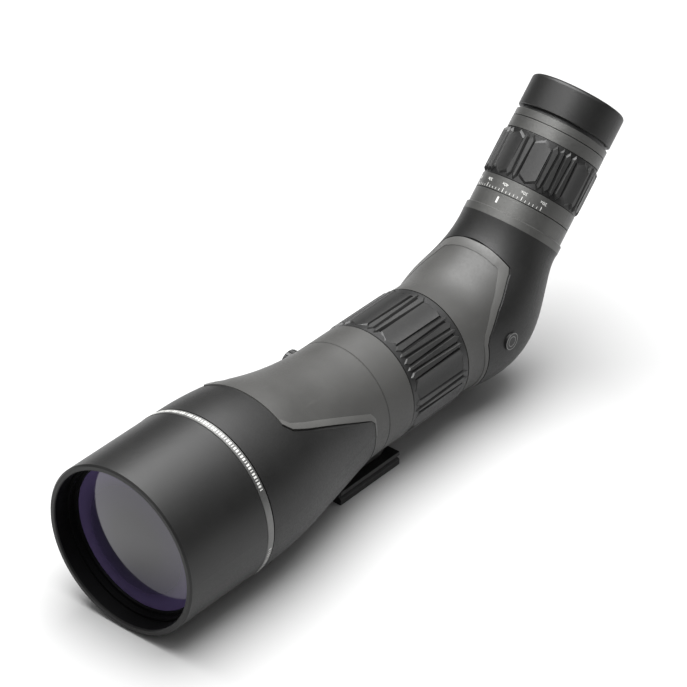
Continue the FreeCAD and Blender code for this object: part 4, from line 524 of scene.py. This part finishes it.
first_tick, tick_step = 40.3, 4.9
tick_station, number_station = 0.0634, 0.0686
scale = bmesh.new()
for i in range(21):
    wide, reach = (0.55, 0.0013) if i % 5 else (0.75, 0.0023)
    flat_bar(scale, first_tick + tick_step * i, tick_station + reach / 2, wide, reach)
curled(scale, ring_radius, eyepiece_frame())
piece("scale_ticks", scale, mark_paint, "zoom_ring")

numbers = bmesh.new()
for i, word in enumerate(("20x", "30x", "40x", "50x", "60x")):
    text = bpy.data.curves.new("number", "FONT")
    text.body = word
    text.size = 0.0024
    text.align_x = "CENTER"
    text.extrude = 0.00004
    writing = bpy.data.objects.new("number", text)
    mesh = bpy.data.meshes.new_from_object(writing)
    bpy.data.objects.remove(writing)
    digits = bmesh.new()
    digits.from_mesh(mesh)
    bpy.data.meshes.remove(mesh)
    for vert in digits.verts:
        wide = math.degrees(vert.co.x / ring_radius) * 1.1
        vert.co = (first_tick + 5 * tick_step * i + wide, number_station - vert.co.y, vert.co.z)
    part = bpy.data.meshes.new("number")
    digits.to_mesh(part)
    digits.free()
    numbers.from_mesh(part)
    bpy.data.meshes.remove(part)
bmesh.ops.remove_doubles(numbers, verts=numbers.verts, dist=0.000001)
curled(numbers, ring_radius, eyepiece_frame())
piece("scale_numbers", numbers, mark_paint, "zoom_ring")

zoom_pattern = [
    (15.3, 21.6, 20.0, 19.2, 6), (30.2, 8.2, 1.6, 6.2, 1), (38.4, 8.2, 6.2, 1.6, 1), (46.6, 8.2, 1.6, 6.2, 1),
    (54.8, 8.2, 6.2, 1.6, 1), (69.9, 21.6, 20.0, 19.2, 6), (84.9, 8.3, 6.2, 1.6, 1), (93.1, 8.3, 1.6, 6.2, 1)]
zoom_core, zoom_land, zoom_groove = 0.0263, 0.0283, 0.0014
zoom_front, zoom_rear = 0.0712, 0.0993
rubber_grip("zoom_grip_rubber", "zoom_grip", "zoom_ring", eyepiece_frame(), zoom_front, zoom_rear,
            zoom_core, zoom_land, zoom_groove, zoom_pattern)


# Eyecup. A plastic guide turns on the eyepiece and lifts the sleeve, which has a soft moulded
# rubber cup bonded over it.
guide_plastic = sprayed("guide_plastic", (0.014, 0.014, 0.014), (0.020, 0.020, 0.020), (0.4, 0.55))
eyecup_soft = sprayed("eyecup_soft", (0.0060, 0.0060, 0.0059), (0.0085, 0.0085, 0.0083), (0.38, 0.48),
                      grain=0.0005, shine=0.32)
coat(guide_plastic, "eyecup_guide_ring", "eyecup_sleeve")
coat(eyecup_soft, "eyecup_rubber")


# Stage. A pale floor under a broad overhead softbox, and a sky that is bright overhead and dim at the horizon.
floor_mesh = bmesh.new()
bmesh.ops.create_grid(floor_mesh, x_segments=1, y_segments=1, size=6)
mesh = bpy.data.meshes.new("floor")
floor_mesh.to_mesh(mesh)
floor_mesh.free()
floor = bpy.data.objects.new("floor", mesh)
bpy.context.scene.collection.objects.link(floor)
floor.location.z = -0.0002
paper = bpy.data.materials.new("paper")
paper.use_nodes = True
paper.node_tree.nodes["Principled BSDF"].inputs["Base Color"].default_value = (0.38, 0.38, 0.38, 1)
paper.node_tree.nodes["Principled BSDF"].inputs["Roughness"].default_value = 0.9
paper.node_tree.nodes["Principled BSDF"].inputs["Specular IOR Level"].default_value = 0.1
mesh.materials.append(paper)

world = bpy.data.worlds.new("studio")
world.use_nodes = True
world.node_tree.nodes["Background"].inputs["Color"].default_value = (1, 1, 1, 1)
sky, sky_links = world.node_tree.nodes, world.node_tree.links
aim = sky.new("ShaderNodeTexCoord")
split = sky.new("ShaderNodeSeparateXYZ")
sky_links.new(aim.outputs["Generated"], split.inputs["Vector"])
dome = sky.new("ShaderNodeMapRange")
dome.interpolation_type = "SMOOTHSTEP"
dome.inputs["From Min"].default_value = 0.25
dome.inputs["From Max"].default_value = 0.95
dome.inputs["To Min"].default_value = 0.02
dome.inputs["To Max"].default_value = 1.1
sky_links.new(split.outputs["Z"], dome.inputs["Value"])
sky_links.new(dome.outputs["Result"], sky["Background"].inputs["Strength"])
bpy.context.scene.world = world


def softbox(name, place, target, wide, deep, power):
    """Area lamp aimed at a point."""
    lamp = bpy.data.lights.new(name, "AREA")
    lamp.shape = "RECTANGLE"
    lamp.size = wide
    lamp.size_y = deep
    lamp.energy = power
    made = bpy.data.objects.new(name, lamp)
    made.location = place
    made.rotation_euler = (Vector(target) - Vector(place)).to_track_quat("-Z", "Y").to_euler()
    bpy.context.scene.collection.objects.link(made)


softbox("overhead", (-0.14, 0.05, 1.4), (0, 0, 0.05), 1.15, 1.7, 70)

lens = bpy.data.cameras.new("camera")
lens.sensor_width = 36
lens.lens = 179.95
camera = bpy.data.objects.new("camera", lens)
bpy.context.scene.collection.objects.link(camera)
view = Vector((-0.5299, 0.6352, -0.5619)).normalized()
up = Vector((-0.3629, 0.4290, 0.8272))
up = (up - up.dot(view) * view).normalized()
right = view.cross(up)
turned = Matrix((right, up, -view)).transposed().to_4x4()
camera.matrix_world = Matrix.Translation((0.9318, -1.1183, 1.0702)) @ turned
bpy.context.scene.camera = camera
bpy.context.scene.view_settings.view_transform = "Standard"
